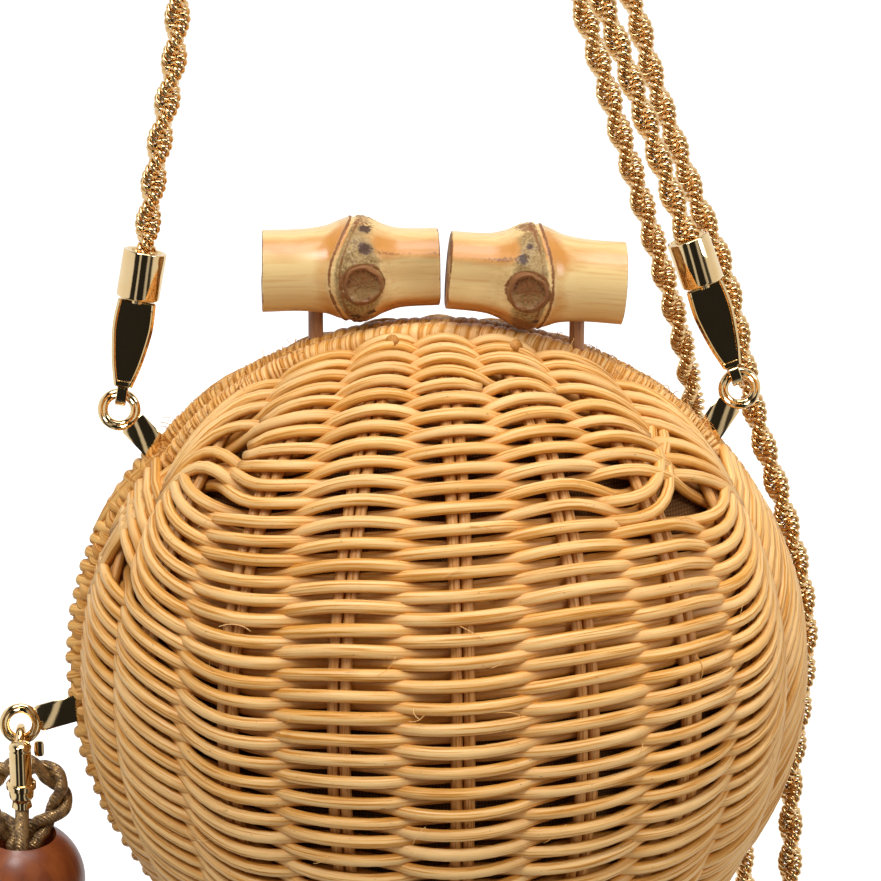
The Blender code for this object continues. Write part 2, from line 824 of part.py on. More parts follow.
def strap_end(name, contact, tilt):
    shank_line = contact + Vector((0, plate_y, 0))
    turning = frame_at(name + "_strap_end", shank_line, (0, tilt, 0))
    plate = plate_solid(name + "_strap_plate", plate_outline(plate_round), plate_thickness, gold, turning)
    field = plate_outline(plate_border + plate_round)
    recess = plate_solid(name + "_recess", field, plate_thickness, None, turning)
    recess.location = (0, -plate_thickness + plate_recess, 0)
    cut(plate, recess)
    outer = curl_inner_radius + curl_wall
    half = curl_length / 2
    ring = [(outer, half), (outer, -half), (curl_inner_radius, -half), (curl_inner_radius, half)]
    join(plate, turned(name + "_curl", ring, spot=(0, -plate_y, 0), parent=turning, closed=True, lying=True))
    shank_length = neck_length + ferrule_floor + gap + shank_head / 2 + plate_thickness
    shank_z = plate_length - plate_thickness + shank_length / 2
    join(plate, rod(name + "_shank", shank_radius, shank_length, spot=(0, 0, shank_z), parent=turning))
    head_z = ferrule_foot_z + ferrule_floor + gap + shank_head / 2
    join(plate, rod(name + "_shank_head", shank_head_radius, shank_head, spot=(0, 0, head_z), parent=turning))
    top = ferrule_foot_z + ferrule_length
    floor_top = ferrule_foot_z + ferrule_floor
    hole = shank_radius + gap
    corner = ferrule_round * ferrule_corner_share
    cup = [
        (ferrule_bore_radius, top),
        (ferrule_radius, top),
        (ferrule_radius, ferrule_foot_z + ferrule_round),
        (ferrule_radius - corner, ferrule_foot_z + corner),
        (ferrule_radius - ferrule_round, ferrule_foot_z),
        (hole, ferrule_foot_z),
        (hole, floor_top),
        (ferrule_bore_radius, floor_top),
    ]
    still = frame_at(name + "_ferrule_line", shank_line, (0, tilt, 0))
    turned(name + "_ferrule", cup, gold, parent=still, closed=True)


strap_end("left", left_contact, left_end_tilt)
strap_end("right", right_contact, right_end_tilt)


# Chain: from the left ferrule over the hanging bar, down behind the bag, round, up, over the bar and down

def end_point(contact, tilt, height):
    """A point on a strap end's line, this far above the eye."""
    return contact + Vector((0, plate_y, 0)) + along_line(tilt, height)


def over_the_bar(x, side):
    """Points over the bar, starting at the front for side -1 and at the back for side 1."""
    turns = [math.pi * k / bar_steps for k in range(bar_steps + 1)]
    return [
        Vector((x, side * hanging_radius * math.cos(turn), hanging_radius * math.sin(turn))) for turn in turns
    ]


left_run = (
    (-45.6, -13.2, -212.8), (-42.5, -13.2, -193.7), (-39.1, -13.1, -176.0), (-37.8, -13.0, -161.4),
    (-34.5, -12.8, -130.0), (-27.5, -12.5, -92.0), (-18.5, -12.2, -56.0), (-9.0, -12.0, -22.0),
)
outer_run = (
    (5.0, 15.0, -22.0), (16.0, 18.5, -43.0), (40.0, 22.0, -97.0), (70.4, 24.0, -161.4), (77.6, 23.0, -185.7),
    (86.1, 20.0, -209.9), (94.6, 16.0, -231.8), (101.9, 10.0, -265.7), (108.6, 8.0, -287.5),
    (113.6, 7.0, -307.0), (115.2, 6.5, -321.5), (114.0, 6.5, -340.9), (112.0, 5.0, -357.0),
    (111.6, 1.0, -378.0),
)
low_turn = ((111.0, 2.0, -391.0), (108.8, 8.5, -401.5), (105.8, 18.0, -402.0), (103.6, 25.5, -392.0))
inner_run = (
    (103.1, 28.0, -378.0), (104.3, 33.0, -362.8), (101.6, 44.0, -342.0), (97.0, 49.0, -312.0),
    (92.3, 43.0, -282.0), (87.3, 29.0, -257.2), (83.7, 24.0, -243.9), (75.2, 18.0, -217.2),
    (67.9, 14.0, -195.4), (61.9, 12.0, -176.0), (57.0, 11.0, -161.4), (38.0, 10.0, -105.0),
    (20.5, 10.5, -50.0), (9.5, 11.5, -20.0),
)
right_run = (
    (8.5, -12.0, -16.0), (17.5, -12.1, -45.0), (36.0, -12.4, -95.0), (60.7, -13.0, -161.4),
    (71.6, -13.2, -190.5), (76.9, -13.2, -205.1),
)


def route_of(run):
    return [Vector(point) * MM for point in run]


chain_route = [
    end_point(left_contact, left_end_tilt, chain_end_z),
    end_point(left_contact, left_end_tilt, ferrule_foot_z + ferrule_length),
    *route_of(left_run),
    *over_the_bar(-chain_strand_offset, -1),
    *route_of(outer_run),
    *route_of(low_turn),
    *route_of(inner_run),
    *over_the_bar(chain_strand_offset, 1),
    *route_of(right_run),
    end_point(right_contact, right_end_tilt, ferrule_foot_z + ferrule_length),
    end_point(right_contact, right_end_tilt, chain_end_z),
]
chain_points = smooth_line(chain_route, chain_spacing)
tube("chain", chain_points, chain_radius, chain_gold)
chain_length = sum((b - a).length for a, b in zip(chain_points, chain_points[1:]))
print(f"chain: {len(chain_points)} points, {chain_length:.4f} m")


# Charm: the hook swings on the eye's lowest point, its trigger closes it, and the swivel turns below

charm_contact = charm_eye - Vector((0, 0, eye_radius))
charm_hook = frame_at("charm_hook", charm_contact - left_contact, (charm_lean, 0, 0), rear_half)
barrel_y = -barrel_set_forward


def snap_hook():
    flange_z = barrel_bottom_z + barrel_flange_height
    crown = [(out * barrel_radius, barrel_top_z + up * barrel_radius) for out, up in barrel_crown_shares]
    profile = crown + [
        (barrel_radius, flange_z),
        (barrel_flange_radius, flange_z - barrel_flange_lip),
        (barrel_flange_radius, barrel_bottom_z),
        (barrel_bore_radius, barrel_bottom_z),
        (barrel_bore_radius, barrel_bottom_z + barrel_bore_depth),
        (0, barrel_bottom_z + barrel_bore_depth),
    ]
    hook = turned("snap_hook", profile, gold, (0, barrel_y, 0), charm_hook)
    root_z = barrel_bottom_z + barrel_bore_depth + hook_wire
    wire = [Vector((0, -hook_loop_radius, root_z))]
    start = math.pi
    for k in range(hook_steps + 1):
        turn = start + (hook_tip_angle - start) * k / hook_steps
        y = hook_loop_radius * math.cos(turn)
        z = -hook_loop_drop + hook_loop_radius * math.sin(turn)
        wire.append(Vector((0, y, z)))
    bend = made_mesh(tube("hook_wire", wire, hook_wire, parent=charm_hook))
    join(hook, bend)
    slot = (2 * (gate_wire + gap), 2 * gate_pivot_out, gate_slot_above + gate_slot_below)
    slot_z = gate_pivot_z + (gate_slot_above - gate_slot_below) / 2
    cut(hook, box("gate_slot", slot, spot=(0, barrel_y + gate_pivot_out, slot_z), parent=charm_hook))
    return hook


snap_hook()
gate_pivot = Vector((0, barrel_y + gate_pivot_out - gate_wire, gate_pivot_z))
hook_tip = Vector((
    0,
    hook_loop_radius * math.cos(hook_tip_angle),
    -hook_loop_drop + hook_loop_radius * math.sin(hook_tip_angle),
))
charm_trigger = frame_at("charm_trigger", gate_pivot, parent=charm_hook)


def snap_trigger():
    along = hook_tip - gate_pivot
    side = Vector((0, -along.z, along.y)).normalized()
    reach = along - along.normalized() * (hook_wire + gap) - side * (hook_wire * gate_side_share)
    trigger = made_mesh(tube("snap_trigger", [Vector((0, 0, 0)), reach], gate_wire, gold, charm_trigger))
    lever_root = reach * lever_height_share
    lever_spot = lever_root + Vector((lever_reach / 2, 0, 0))
    lever = rod("lever", lever_wire, lever_reach, None, lever_spot, charm_trigger, lying=True, sides=12)
    join(trigger, lever)
    thumb_spot = lever_root + Vector((lever_reach - thumb_width, 0, (thumb_height - lever_wire) / 2))
    thumb_size = (thumb_width, thumb_thickness, thumb_height)
    join(trigger, box("thumb", thumb_size, None, thumb_spot, charm_trigger, rounding=thumb_round))


snap_trigger()

charm_drop = frame_at("charm_drop", (0, barrel_y, 0), parent=charm_hook)
swivel_top_z = barrel_bottom_z + barrel_bore_depth - gap
swivel_head_z = barrel_bottom_z - gap
swivel_cup_z = swivel_head_z - swivel_head
swivel_foot_z = swivel_cup_z - swivel_cup
stem_top_z = swivel_cup_z - gap


def snap_swivel():
    profile = [
        (0, swivel_top_z),
        (swivel_shank_radius, swivel_top_z),
        (swivel_shank_radius, swivel_head_z),
        (swivel_head_radius, swivel_head_z),
        (swivel_head_radius, swivel_cup_z),
        (swivel_cup_radius, swivel_cup_z - gap),
        (swivel_cup_radius, swivel_foot_z),
        (rope_radius + gap, swivel_foot_z),
        (rope_radius + gap, stem_top_z + gap),
        (0, stem_top_z + gap),
    ]
    turned("snap_swivel", profile, gold, parent=charm_drop, steps=16)


def rope_stem():
    foot_z = ball_centre_z + ball_radius - ball_hole_depth + 2 * gap
    route = [
        Vector((0, 0, stem_top_z)),
        Vector((0, 0, swivel_foot_z)),
        Vector((0, -stem_forward, (swivel_foot_z + foot_z) / 2)),
        Vector((0, -stem_forward, foot_z)),
    ]
    tube("rope_stem", smooth_line(route, 3), rope_radius, bronze_rope, charm_drop)


def rope_ring():
    """Two strands laid round each other along a ring that leans from the barrel into the ball's hole."""
    right = [
        Vector((out * rope_ring_half_width, 0, -down * rope_ring_length)) for out, down in rope_ring_shares
    ]
    left = [Vector((-point.x, 0, point.z)) for point in right[-2:0:-1]]
    knots = right + left
    middle = smooth_ring(knots, rope_ring_steps)
    lean = math.atan2(rope_ring_top_y - rope_ring_foot_y, -right[-1].z)
    tilted = Matrix.Rotation(-lean, 3, "X")
    top = Vector((0, rope_ring_top_y, rope_ring_top_z))
    steps = [(middle[(i + 1) % len(middle)] - point).length for i, point in enumerate(middle)]
    whole = sum(steps)
    for strand in (0, 1):
        points = []
        for i, point in enumerate(middle):
            along = (middle[(i + 1) % len(middle)] - middle[i - 1]).normalized()
            across = Vector((along.z, 0, -along.x))
            twist = 2 * math.pi * rope_ring_turns * sum(steps[:i]) / whole + strand * math.pi
            offset = across * math.cos(twist) + Vector((0, math.sin(twist), 0))
            points.append(top + tilted @ (point + offset * rope_twist_radius))
        name = f"rope_strand_{strand + 1}"
        tube(name, points, rope_strand_radius, bronze_rope, charm_drop, cyclic=True, resolution=1)


def smooth_ring(knots, steps):
    """Points on a smooth closed curve through the knots."""
    points = []
    for i, start in enumerate(knots):
        end = knots[(i + 1) % len(knots)]
        after = knots[(i + 2) % len(knots)]
        points += [curve_point(knots[i - 1], start, end, after, k / steps) for k in range(steps)]
    return points


def wooden_ball():
    bm = bmesh.new()
    bmesh.ops.create_uvsphere(bm, u_segments=ball_segments, v_segments=ball_rings, radius=ball_radius)
    ball_mesh = mesh_from(bm, "wooden_ball")
    ball = new_object("wooden_ball", ball_mesh, ball_wood, (0, 0, ball_centre_z), charm_drop)
    ball.rotation_euler = (ball_tilt, 0, 0)
    hole_spot = (0, 0, ball_radius)
    cut(ball, rod("ball_hole", ball_hole_radius, 2 * ball_hole_depth, None, hole_spot, ball, sides=24))


snap_swivel()
rope_stem()
rope_ring()
wooden_ball()
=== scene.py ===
"""A ball-shaped woven clutch on a rope chain, dressed over its CAD frame for a studio picture."""

import math
import random

import bmesh
import bpy
from mathutils import Matrix, Vector


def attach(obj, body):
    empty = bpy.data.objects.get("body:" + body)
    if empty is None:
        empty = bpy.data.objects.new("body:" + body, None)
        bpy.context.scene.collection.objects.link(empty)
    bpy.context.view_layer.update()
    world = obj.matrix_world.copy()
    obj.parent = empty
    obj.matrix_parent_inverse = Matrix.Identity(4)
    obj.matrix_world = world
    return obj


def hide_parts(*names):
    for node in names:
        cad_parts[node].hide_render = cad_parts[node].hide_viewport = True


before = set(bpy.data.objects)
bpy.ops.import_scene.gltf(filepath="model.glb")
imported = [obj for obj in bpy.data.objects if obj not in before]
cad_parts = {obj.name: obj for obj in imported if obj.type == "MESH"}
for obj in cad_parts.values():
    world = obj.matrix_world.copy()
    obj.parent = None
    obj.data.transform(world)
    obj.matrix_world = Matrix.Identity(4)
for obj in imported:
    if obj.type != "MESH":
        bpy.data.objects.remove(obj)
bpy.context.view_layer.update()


# The picture: a long lens looks slightly down on the front of the hanging bag, a little from its left.
# The bag's middle lies low in the picture, so that the knobs and the chain's runs are in it.

bag_middle = Vector((0.0223, -0.012, -0.322))
picture_width = 0.2137
camera_height_angle = math.radians(12.0)
camera_side_angle = math.radians(-3.0)
back_to_camera = Vector((
    math.sin(camera_side_angle) * math.cos(camera_height_angle),
    -math.cos(camera_side_angle) * math.cos(camera_height_angle),
    math.sin(camera_height_angle),
))
camera_facing = (-back_to_camera).to_track_quat("-Z", "Y")
camera_right = camera_facing @ Vector((1, 0, 0))
camera_up = camera_facing @ Vector((0, 1, 0))
picture_middle = bag_middle + camera_right * 0.0009 + camera_up * 0.0537
camera_data = bpy.data.cameras.new("picture")
camera_data.lens = 150.0
camera_data.sensor_width = 36.0
camera = bpy.data.objects.new("picture", camera_data)
bpy.context.scene.collection.objects.link(camera)
distance = picture_width * camera_data.lens / camera_data.sensor_width
camera.location = picture_middle + back_to_camera * distance
camera.rotation_mode = "QUATERNION"
camera.rotation_quaternion = camera_facing
bpy.context.scene.camera = camera
bpy.context.scene.view_settings.view_transform = "Standard"


# The room: a white sweep behind the bag, a dim room behind the camera, and a pale floor under the bag.
# The room's brightness by direction is what the polished metal mirrors.

def feed(tree, target, source):
    """Gives a socket another node's output, or a number, vector or colour of its own."""
    if isinstance(source, bpy.types.NodeSocket):
        tree.links.new(source, target)
    elif target.type == "RGBA":
        target.default_value = (*source, 1)
    else:
        target.default_value = source


def set_sockets(tree, node, **sockets):
    """Feeds a node's sockets. An underscore in a socket's name stands for a blank."""
    for name, source in sockets.items():
        feed(tree, node.inputs[name.replace("_", " ")], source)
    return node


def new_node(tree, kind, **sockets):
    return set_sockets(tree, tree.nodes.new(kind), **sockets)


def ranged(tree, source, low, high, to_low=0.0, to_high=1.0):
    """Carries a value from one range over to another, and holds it at both ends."""
    made = new_node(tree, "ShaderNodeMapRange", Value=source, From_Min=low, From_Max=high)
    return set_sockets(tree, made, To_Min=to_low, To_Max=to_high).outputs["Result"]


def mixed(tree, factor, first, second):
    """A blend from one colour to another."""
    made = tree.nodes.new("ShaderNodeMix")
    made.data_type = "RGBA"
    return set_sockets(tree, made, Factor=factor, A=first, B=second).outputs["Result"]


def worked_out(tree, operation, first, second):
    """The sum, product or lesser of two values."""
    made = tree.nodes.new("ShaderNodeMath")
    made.operation = operation
    feed(tree, made.inputs[0], first)
    feed(tree, made.inputs[1], second)
    return made.outputs[0]


def mesh_object(name, verts, faces):
    """A new smooth mesh in the part's frame."""
    data = bpy.data.meshes.new(name)
    data.from_pydata(verts, [], faces)
    data.polygons.foreach_set("use_smooth", [True] * len(faces))
    data.update()
    piece = bpy.data.objects.new(name, data)
    bpy.context.scene.collection.objects.link(piece)
    return piece


world = bpy.data.worlds.new("studio")
bpy.context.scene.world = world
world.use_nodes = True
room = world.node_tree
room.nodes.clear()
room_direction = room.nodes.new("ShaderNodeTexCoord").outputs["Generated"]
room_parts = new_node(room, "ShaderNodeSeparateXYZ", Vector=room_direction).outputs
room_tone = new_node(room, "ShaderNodeValToRGB", Fac=ranged(room, room_parts["Y"], -1.0, 1.0))
room_tone.color_ramp.elements[0].position = 0.46
room_tone.color_ramp.elements[1].position = 0.74
room_stripes = new_node(room, "ShaderNodeValToRGB", Fac=ranged(room, room_parts["X"], -1.0, 1.0))
stripes = room_stripes.color_ramp
stripes.elements[0].color = (0.9, 0.9, 0.88, 1)
stripes.elements[1].color = (0.85, 0.80, 0.72, 1)
for spot, tone in (
    (0.13, 0.85), (0.16, 0.03), (0.31, 0.02), (0.34, 0.62), (0.39, 0.62), (0.42, 0.02),
    (0.66, 0.02), (0.70, 0.50), (0.76, 0.55), (0.79, 0.04), (0.86, 0.05), (0.90, 0.80),
):
    stripes.elements.new(spot).color = (tone, tone * 0.97, tone * 0.92, 1)
ray = room.nodes.new("ShaderNodeLightPath").outputs
mirrored = mixed(room, room_tone.outputs["Color"], room_stripes.outputs["Color"], (1, 1, 1))
for_mirrors = mixed(room, ray["Is Glossy Ray"], (0.30, 0.295, 0.28), mirrored)
for_camera = mixed(room, ray["Is Camera Ray"], for_mirrors, (1, 1, 1))
room_light = new_node(room, "ShaderNodeBackground", Color=for_camera)
new_node(room, "ShaderNodeOutputWorld", Surface=room_light.outputs["Background"])

floor_height = -0.474
floor_reach = 4.0
floor_corners = [
    (across * floor_reach, deep * floor_reach, floor_height)
    for across, deep in ((-1, -1), (1, -1), (1, 1), (-1, 1))
]
floor = mesh_object("floor", floor_corners, [(0, 1, 2, 3)])
floor_paint = bpy.data.materials.new("pale_floor")
floor_paint.use_nodes = True
paint = floor_paint.node_tree
seen = paint.nodes.new("ShaderNodeLightPath").outputs["Is Camera Ray"]
floor_place = paint.nodes.new("ShaderNodeTexCoord").outputs["Object"]
from_bag = new_node(paint, "ShaderNodeVectorMath", Vector=floor_place)
from_bag.operation = "LENGTH"
floor_fade = ranged(paint, from_bag.outputs["Value"], 0.45, 0.9, 0.55, 1.0)
floor_fade.node.interpolation_type = "SMOOTHSTEP"
set_sockets(
    paint,
    paint.nodes["Principled BSDF"],
    Base_Color=mixed(paint, seen, (0.42, 0.42, 0.42), (0.8, 0.8, 0.8)),
    Roughness=0.9,
    Specular_IOR_Level=0.0,
    Emission_Color=(1, 1, 1),
    Emission_Strength=worked_out(paint, "MULTIPLY", seen, floor_fade),
)
floor.data.materials.append(floor_paint)
floor.visible_glossy = False


def soft_lamp(name, spot, aim, size, power):
    """A square softbox that looks at a point."""
    lamp_data = bpy.data.lights.new(name, "AREA")
    lamp_data.shape = "SQUARE"
    lamp_data.size = size
    lamp_data.energy = power
    lamp = bpy.data.objects.new(name, lamp_data)
    bpy.context.scene.collection.objects.link(lamp)
    lamp.location = spot
    lamp.rotation_mode = "QUATERNION"
    lamp.rotation_quaternion = (Vector(aim) - Vector(spot)).to_track_quat("-Z", "Y")


soft_lamp("upper_left", (-0.45, -0.85, 0.80), bag_middle, 0.45, 9.3)
soft_lamp("right_front", (1.1, -0.8, 0.25), bag_middle, 0.45, 5.2)
soft_lamp("overhead", (0.1, -0.25, 0.70), bag_middle, 0.6, 6.2)


# The rope chain: one length of gold-plated rope chain, which goes from the left ferrule up over the
# bar, down behind the bag in a loose loop, up over the bar again and down to the right ferrule.
# Round wire rings nest in one another along two strands, and the strands twist into the rope's lobes.

left_chain_end = Vector((-0.0478573, -0.0131, -0.2280946))
left_chain_mouth = Vector((-0.0464760, -0.0131, -0.2204179))
right_chain_end = Vector((0.0844975, -0.0131, -0.2258505))
right_chain_mouth = Vector((0.0818553, -0.0131, -0.2185116))
bar_radius = 0.012
strand_from_middle = 0.0042

left_run = (
    (-0.0456, -0.0132, -0.2128), (-0.0425, -0.0132, -0.1937), (-0.0391, -0.0131, -0.1760),
    (-0.0378, -0.0130, -0.1614), (-0.0345, -0.0128, -0.1300), (-0.0275, -0.0125, -0.0920),
    (-0.0185, -0.0122, -0.0560), (-0.0090, -0.0120, -0.0220),
)
outer_run = (
    (0.0050, 0.0150, -0.0220), (0.0160, 0.0185, -0.0430), (0.0400, 0.0220, -0.0970),
    (0.0704, 0.0240, -0.1614), (0.0776, 0.0230, -0.1857), (0.0861, 0.0200, -0.2099),
    (0.0946, 0.0160, -0.2318), (0.1019, 0.0100, -0.2657), (0.1086, 0.0080, -0.2875),
    (0.1136, 0.0070, -0.3070), (0.1152, 0.0065, -0.3215), (0.1140, 0.0065, -0.3409),
    (0.1120, 0.0050, -0.3570), (0.1116, 0.0010, -0.3780),
)
low_turn = (
    (0.1110, 0.0020, -0.3910), (0.1088, 0.0085, -0.4015),
    (0.1058, 0.0180, -0.4020), (0.1036, 0.0255, -0.3920),
)
inner_run = (
    (0.1031, 0.0280, -0.3780), (0.1043, 0.0330, -0.3628), (0.1016, 0.0440, -0.3420),
    (0.0970, 0.0490, -0.3120), (0.0923, 0.0430, -0.2820), (0.0873, 0.0290, -0.2572),
    (0.0837, 0.0240, -0.2439), (0.0752, 0.0180, -0.2172), (0.0679, 0.0140, -0.1954),
    (0.0619, 0.0120, -0.1760), (0.0570, 0.0110, -0.1614), (0.0380, 0.0100, -0.1050),
    (0.0205, 0.0105, -0.0500), (0.0095, 0.0115, -0.0200),
)
right_run = (
    (0.0085, -0.0120, -0.0160), (0.0175, -0.0121, -0.0450), (0.0360, -0.0124, -0.0950),
    (0.0607, -0.0130, -0.1614), (0.0716, -0.0132, -0.1905), (0.0769, -0.0132, -0.2051),
)


def turns(count):
    """The angles of this many equal steps round a circle."""
    return [2 * math.pi * k / count for k in range(count)]


def between(first, second, turn):
    """The way that lies this far round from the first of two ways towards the second."""
    return first * math.cos(turn) + second * math.sin(turn)


def over_the_bar(x, side):
    steps = [math.pi * k / 4 for k in range(5)]
    return [(x, side * bar_radius * math.cos(turn), bar_radius * math.sin(turn)) for turn in steps]


def cubic(start, lead, end, tail, t):
    """The smooth curve's reading at t, from 0 to 1. Lead and tail are its slopes at both ends."""
    return (
        start * (2 * t**3 - 3 * t**2 + 1)
        + lead * (t**3 - 2 * t**2 + t)
        + end * (3 * t**2 - 2 * t**3)
        + tail * (t**3 - t**2)
    )


def curve_point(before, start, end, after, t):
    """A point of the smooth curve between start and end. Its slopes look to before and after."""
    span = (end - start).length
    lead = (end - before) * (span / max((end - start).length + (start - before).length, span))
    tail = (after - start) * (span / max((after - end).length + (end - start).length, span))
    return cubic(start, lead, end, tail, t)


def smooth_line(route, step):
    """Points about a step apart on a smooth curve through the route."""
    points = []
    for i in range(len(route) - 1):
        before = route[max(i - 1, 0)]
        after = route[min(i + 2, len(route) - 1)]
        count = max(1, round((route[i + 1] - route[i]).length / step))
        points += [curve_point(before, route[i], route[i + 1], after, k / count) for k in range(count)]
    points.append(route[-1])
    return points


chain_route = [
    Vector(point)
    for point in (
        left_chain_end, left_chain_mouth, *left_run, *over_the_bar(-strand_from_middle, -1),
        *outer_run, *low_turn, *inner_run, *over_the_bar(strand_from_middle, 1), *right_run,
        right_chain_mouth, right_chain_end,
    )
]
chain_line = smooth_line(chain_route, 0.003)
chain_steps = [(b - a).length for a, b in zip(chain_line, chain_line[1:])]
chain_length = sum(chain_steps)


def ring_faces(first, rings, sides, looped=False):
    """The faces between rings of points that follow each other. The first ring begins at point first."""
    faces = []
    for i in range(rings if looped else rings - 1):
        here = first + i * sides
        there = first + (i + 1) % rings * sides
        for j in range(sides):
            k = (j + 1) % sides
            faces.append((here + j, here + k, there + k, there + j))
    return faces


def chain_links():
    """Rings nested in two strands that wind round each other, with a ring of each strand in turn."""
    lobe = 0.0097
    advance = 0.00066
    strand_offset = 0.00112
    ring_radius = 0.00148
    wire_radius = 0.00060
    lean = math.radians(52.0)
    ring_steps = 14
    wire_steps = 6
    verts = []
    faces = []
    side = Vector((0, 1, 0))
    walked = 0.0
    due = advance / 2
    number = 0
    for start, end, step in zip(chain_line, chain_line[1:], chain_steps):
        along = (end - start).normalized()
        side = (side - along * side.dot(along)).normalized()
        across = along.cross(side)
        while due < walked + step and due < chain_length - advance / 2:
            turn = math.pi * due / lobe + math.pi * (number % 2)
            outward = between(side, across, turn)
            axis = between(along, along.cross(outward), lean)
            rise = axis.cross(outward)
            middle = start + along * (due - walked) + outward * strand_offset
            for a, b, c, d in ring_faces(len(verts), ring_steps, wire_steps, looped=True):
                faces.append((a, d, c, b))
            for angle in turns(ring_steps):
                spoke = between(outward, rise, angle)
                for roll in turns(wire_steps):
                    offset = spoke * (ring_radius + wire_radius * math.cos(roll))
                    verts.append(middle + offset + axis * wire_radius * math.sin(roll))
            due += advance
            number += 1
        walked += step
    return mesh_object("rope_chain", verts, faces)


def new_group(name, given, made):
    """A shader node group with named inputs, their usual values, and named outputs."""
    group = bpy.data.node_groups.new(name, "ShaderNodeTree")
    for socket, value in given.items():
        if isinstance(value, tuple):
            shown = group.interface.new_socket(socket, in_out="INPUT", socket_type="NodeSocketColor")
            shown.default_value = (*value, 1)
        else:
            kind = "NodeSocketVector" if isinstance(value, Vector) else "NodeSocketFloat"
            shown = group.interface.new_socket(socket, in_out="INPUT", socket_type=kind)
            shown.default_value = value
    for socket in made:
        kind = "NodeSocketColor" if socket == "Color" else "NodeSocketFloat"
        group.interface.new_socket(socket, in_out="OUTPUT", socket_type=kind)
    return group, group.nodes.new("NodeGroupInput").outputs, group.nodes.new("NodeGroupOutput")


def plate_wear_group():
    """Gold plate: a cloudy change between fresh and worn tone and polish, and fine unevenness."""
    group, given, out = new_group(
        "gold_plate_wear",
        {"Gold": (0.83, 0.62, 0.30), "Worn": (0.93, 0.80, 0.55), "Base roughness": 0.12},
        ("Color", "Roughness", "Height"),
    )
    place = group.nodes.new("ShaderNodeTexCoord").outputs["Object"]
    cloud = new_node(group, "ShaderNodeTexNoise", Vector=place, Scale=260.0, Detail=3.0).outputs["Fac"]
    fine = new_node(group, "ShaderNodeTexNoise", Vector=place, Scale=1800.0).outputs["Fac"]
    rough = worked_out(group, "ADD", given["Base roughness"], ranged(group, cloud, 0.0, 1.0, -0.04, 0.06))
    tone = mixed(group, cloud, given["Gold"], given["Worn"])
    set_sockets(group, out, Color=tone, Roughness=rough, Height=fine)
    return group


gold_wear = plate_wear_group()


def finish(name, group, values, bump_strength, bump_distance, **plain):
    """A material: the look that a group gives with these values, its bump, and plain shader values."""
    made = bpy.data.materials.new(name)
    made.use_nodes = True
    tree = made.node_tree
    shader = set_sockets(tree, tree.nodes["Principled BSDF"], **plain)
    look = tree.nodes.new("ShaderNodeGroup")
    look.node_tree = group
    for socket, value in values.items():
        feed(tree, look.inputs[socket], value)
    for output, socket in (("Color", "Base Color"), ("Metal", "Metallic"), ("Roughness", "Roughness")):
        if output in look.outputs:
            tree.links.new(look.outputs[output], shader.inputs[socket])
    bump = new_node(tree, "ShaderNodeBump", Strength=bump_strength, Distance=bump_distance)
    tree.links.new(look.outputs["Height"], bump.inputs["Height"])
    tree.links.new(bump.outputs["Normal"], shader.inputs["Normal"])
    return made


def gold_material(name, gold, worn, roughness):
    """Polished gold plate over a die-cast or wire part."""
    values = {"Gold": gold, "Worn": worn, "Base roughness": roughness}
    return finish(name, gold_wear, values, 0.05, 0.0001, Metallic=1.0)


def dress(piece, material, body, node=None):
    """Gives a piece its material and its body, and hides the CAD node that it stands for, if there is one."""
    piece.data.materials.append(material)
    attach(piece, body)
    if node:
        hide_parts(node)


rope_chain = chain_links()
chain_gold = gold_material("chain_gold_plate", (0.78, 0.47, 0.17), (0.90, 0.66, 0.36), 0.12)
dress(rope_chain, chain_gold, "strap", "chain")


# The two baskets: half a ball each, woven over pairs of round reed stakes that fan from top to bottom.
# Round peeled weavers go over one pair and under the next, and turn round the rim's hoop at the sides.
# Towards the shoulders the ball narrows, and short rows are folded back or cut off behind a pair.

half_width = 0.090
front_left_half_width = 0.0862
upper_height = 0.0845
lower_height = 0.089
half_depth = 0.075
hoop_inset = 0.0038
hoop_wrap = 0.0026
weaver_pitch = 0.00248
tightest_pitch = (0.00248, 0.0024, 0.0022, 0.0019, 0.0019)
weaver_half_width = 0.00152
weaver_half_thickness = 0.00128
stake_half_width = 0.00135
stake_half_thickness = 0.00118
stake_half_gap = 0.00142
weave_swing = 0.0025
stake_plane = 0.0036
stake_step = math.radians(19.3)
stake_pole = 1.11
stake_shift = math.radians(1.5)
stakes_each_side = 4
last_place = math.radians(90.0) / stake_step
lowest_hoop_turn = -0.80
highest_hoop_turn = 0.64
right_side_rise = 1.7
fold_back = 0.58


def ball_point(across, up):
    """The unit ball's point this far across and up, on its front half."""
    return Vector((across, -math.sqrt(max(1 - across**2 - up**2, 0.0)), up))


def half_sizes(unit, facing):
    """The half width and height of the ball on this side of its middle. facing -1 is the front half."""
    wide = front_left_half_width if facing < 0 and unit.x < 0 else half_width
    return wide, upper_height if unit.z > 0 else lower_height


def seat_on_ball(unit, out, facing):
    """The real point at a unit ball's point, this far out from the stakes' surface, and its normal."""
    wide, height = half_sizes(unit, facing)
    normal = Vector((unit.x / wide, unit.y / half_depth, unit.z / height)).normalized()
    point = Vector((unit.x * wide, unit.y * half_depth, unit.z * height)) + normal * (out - stake_plane)
    return (
        bag_middle + Vector((point.x, -facing * point.y, point.z)),
        Vector((normal.x, -facing * normal.y, normal.z)),
    )


def outline_point(unit, facing):
    """The outline's point at a point of the unit circle, from the bag's middle, and its outward normal."""
    wide, height = half_sizes(unit, facing)
    point = Vector((unit.x * wide, 0, unit.z * height))
    return point, Vector((unit.x / wide, 0, unit.z / height)).normalized()


def eased(value, low, high):
    t = min(max((value - low) / (high - low), 0.0), 1.0)
    return t * t * (3 - 2 * t)


def stake_across(turn, up):
    narrowed = math.sqrt(1 - (min(abs(up), 1.0) / stake_pole) ** 2)
    return math.sin(turn + stake_shift * math.cos(turn)) * narrowed


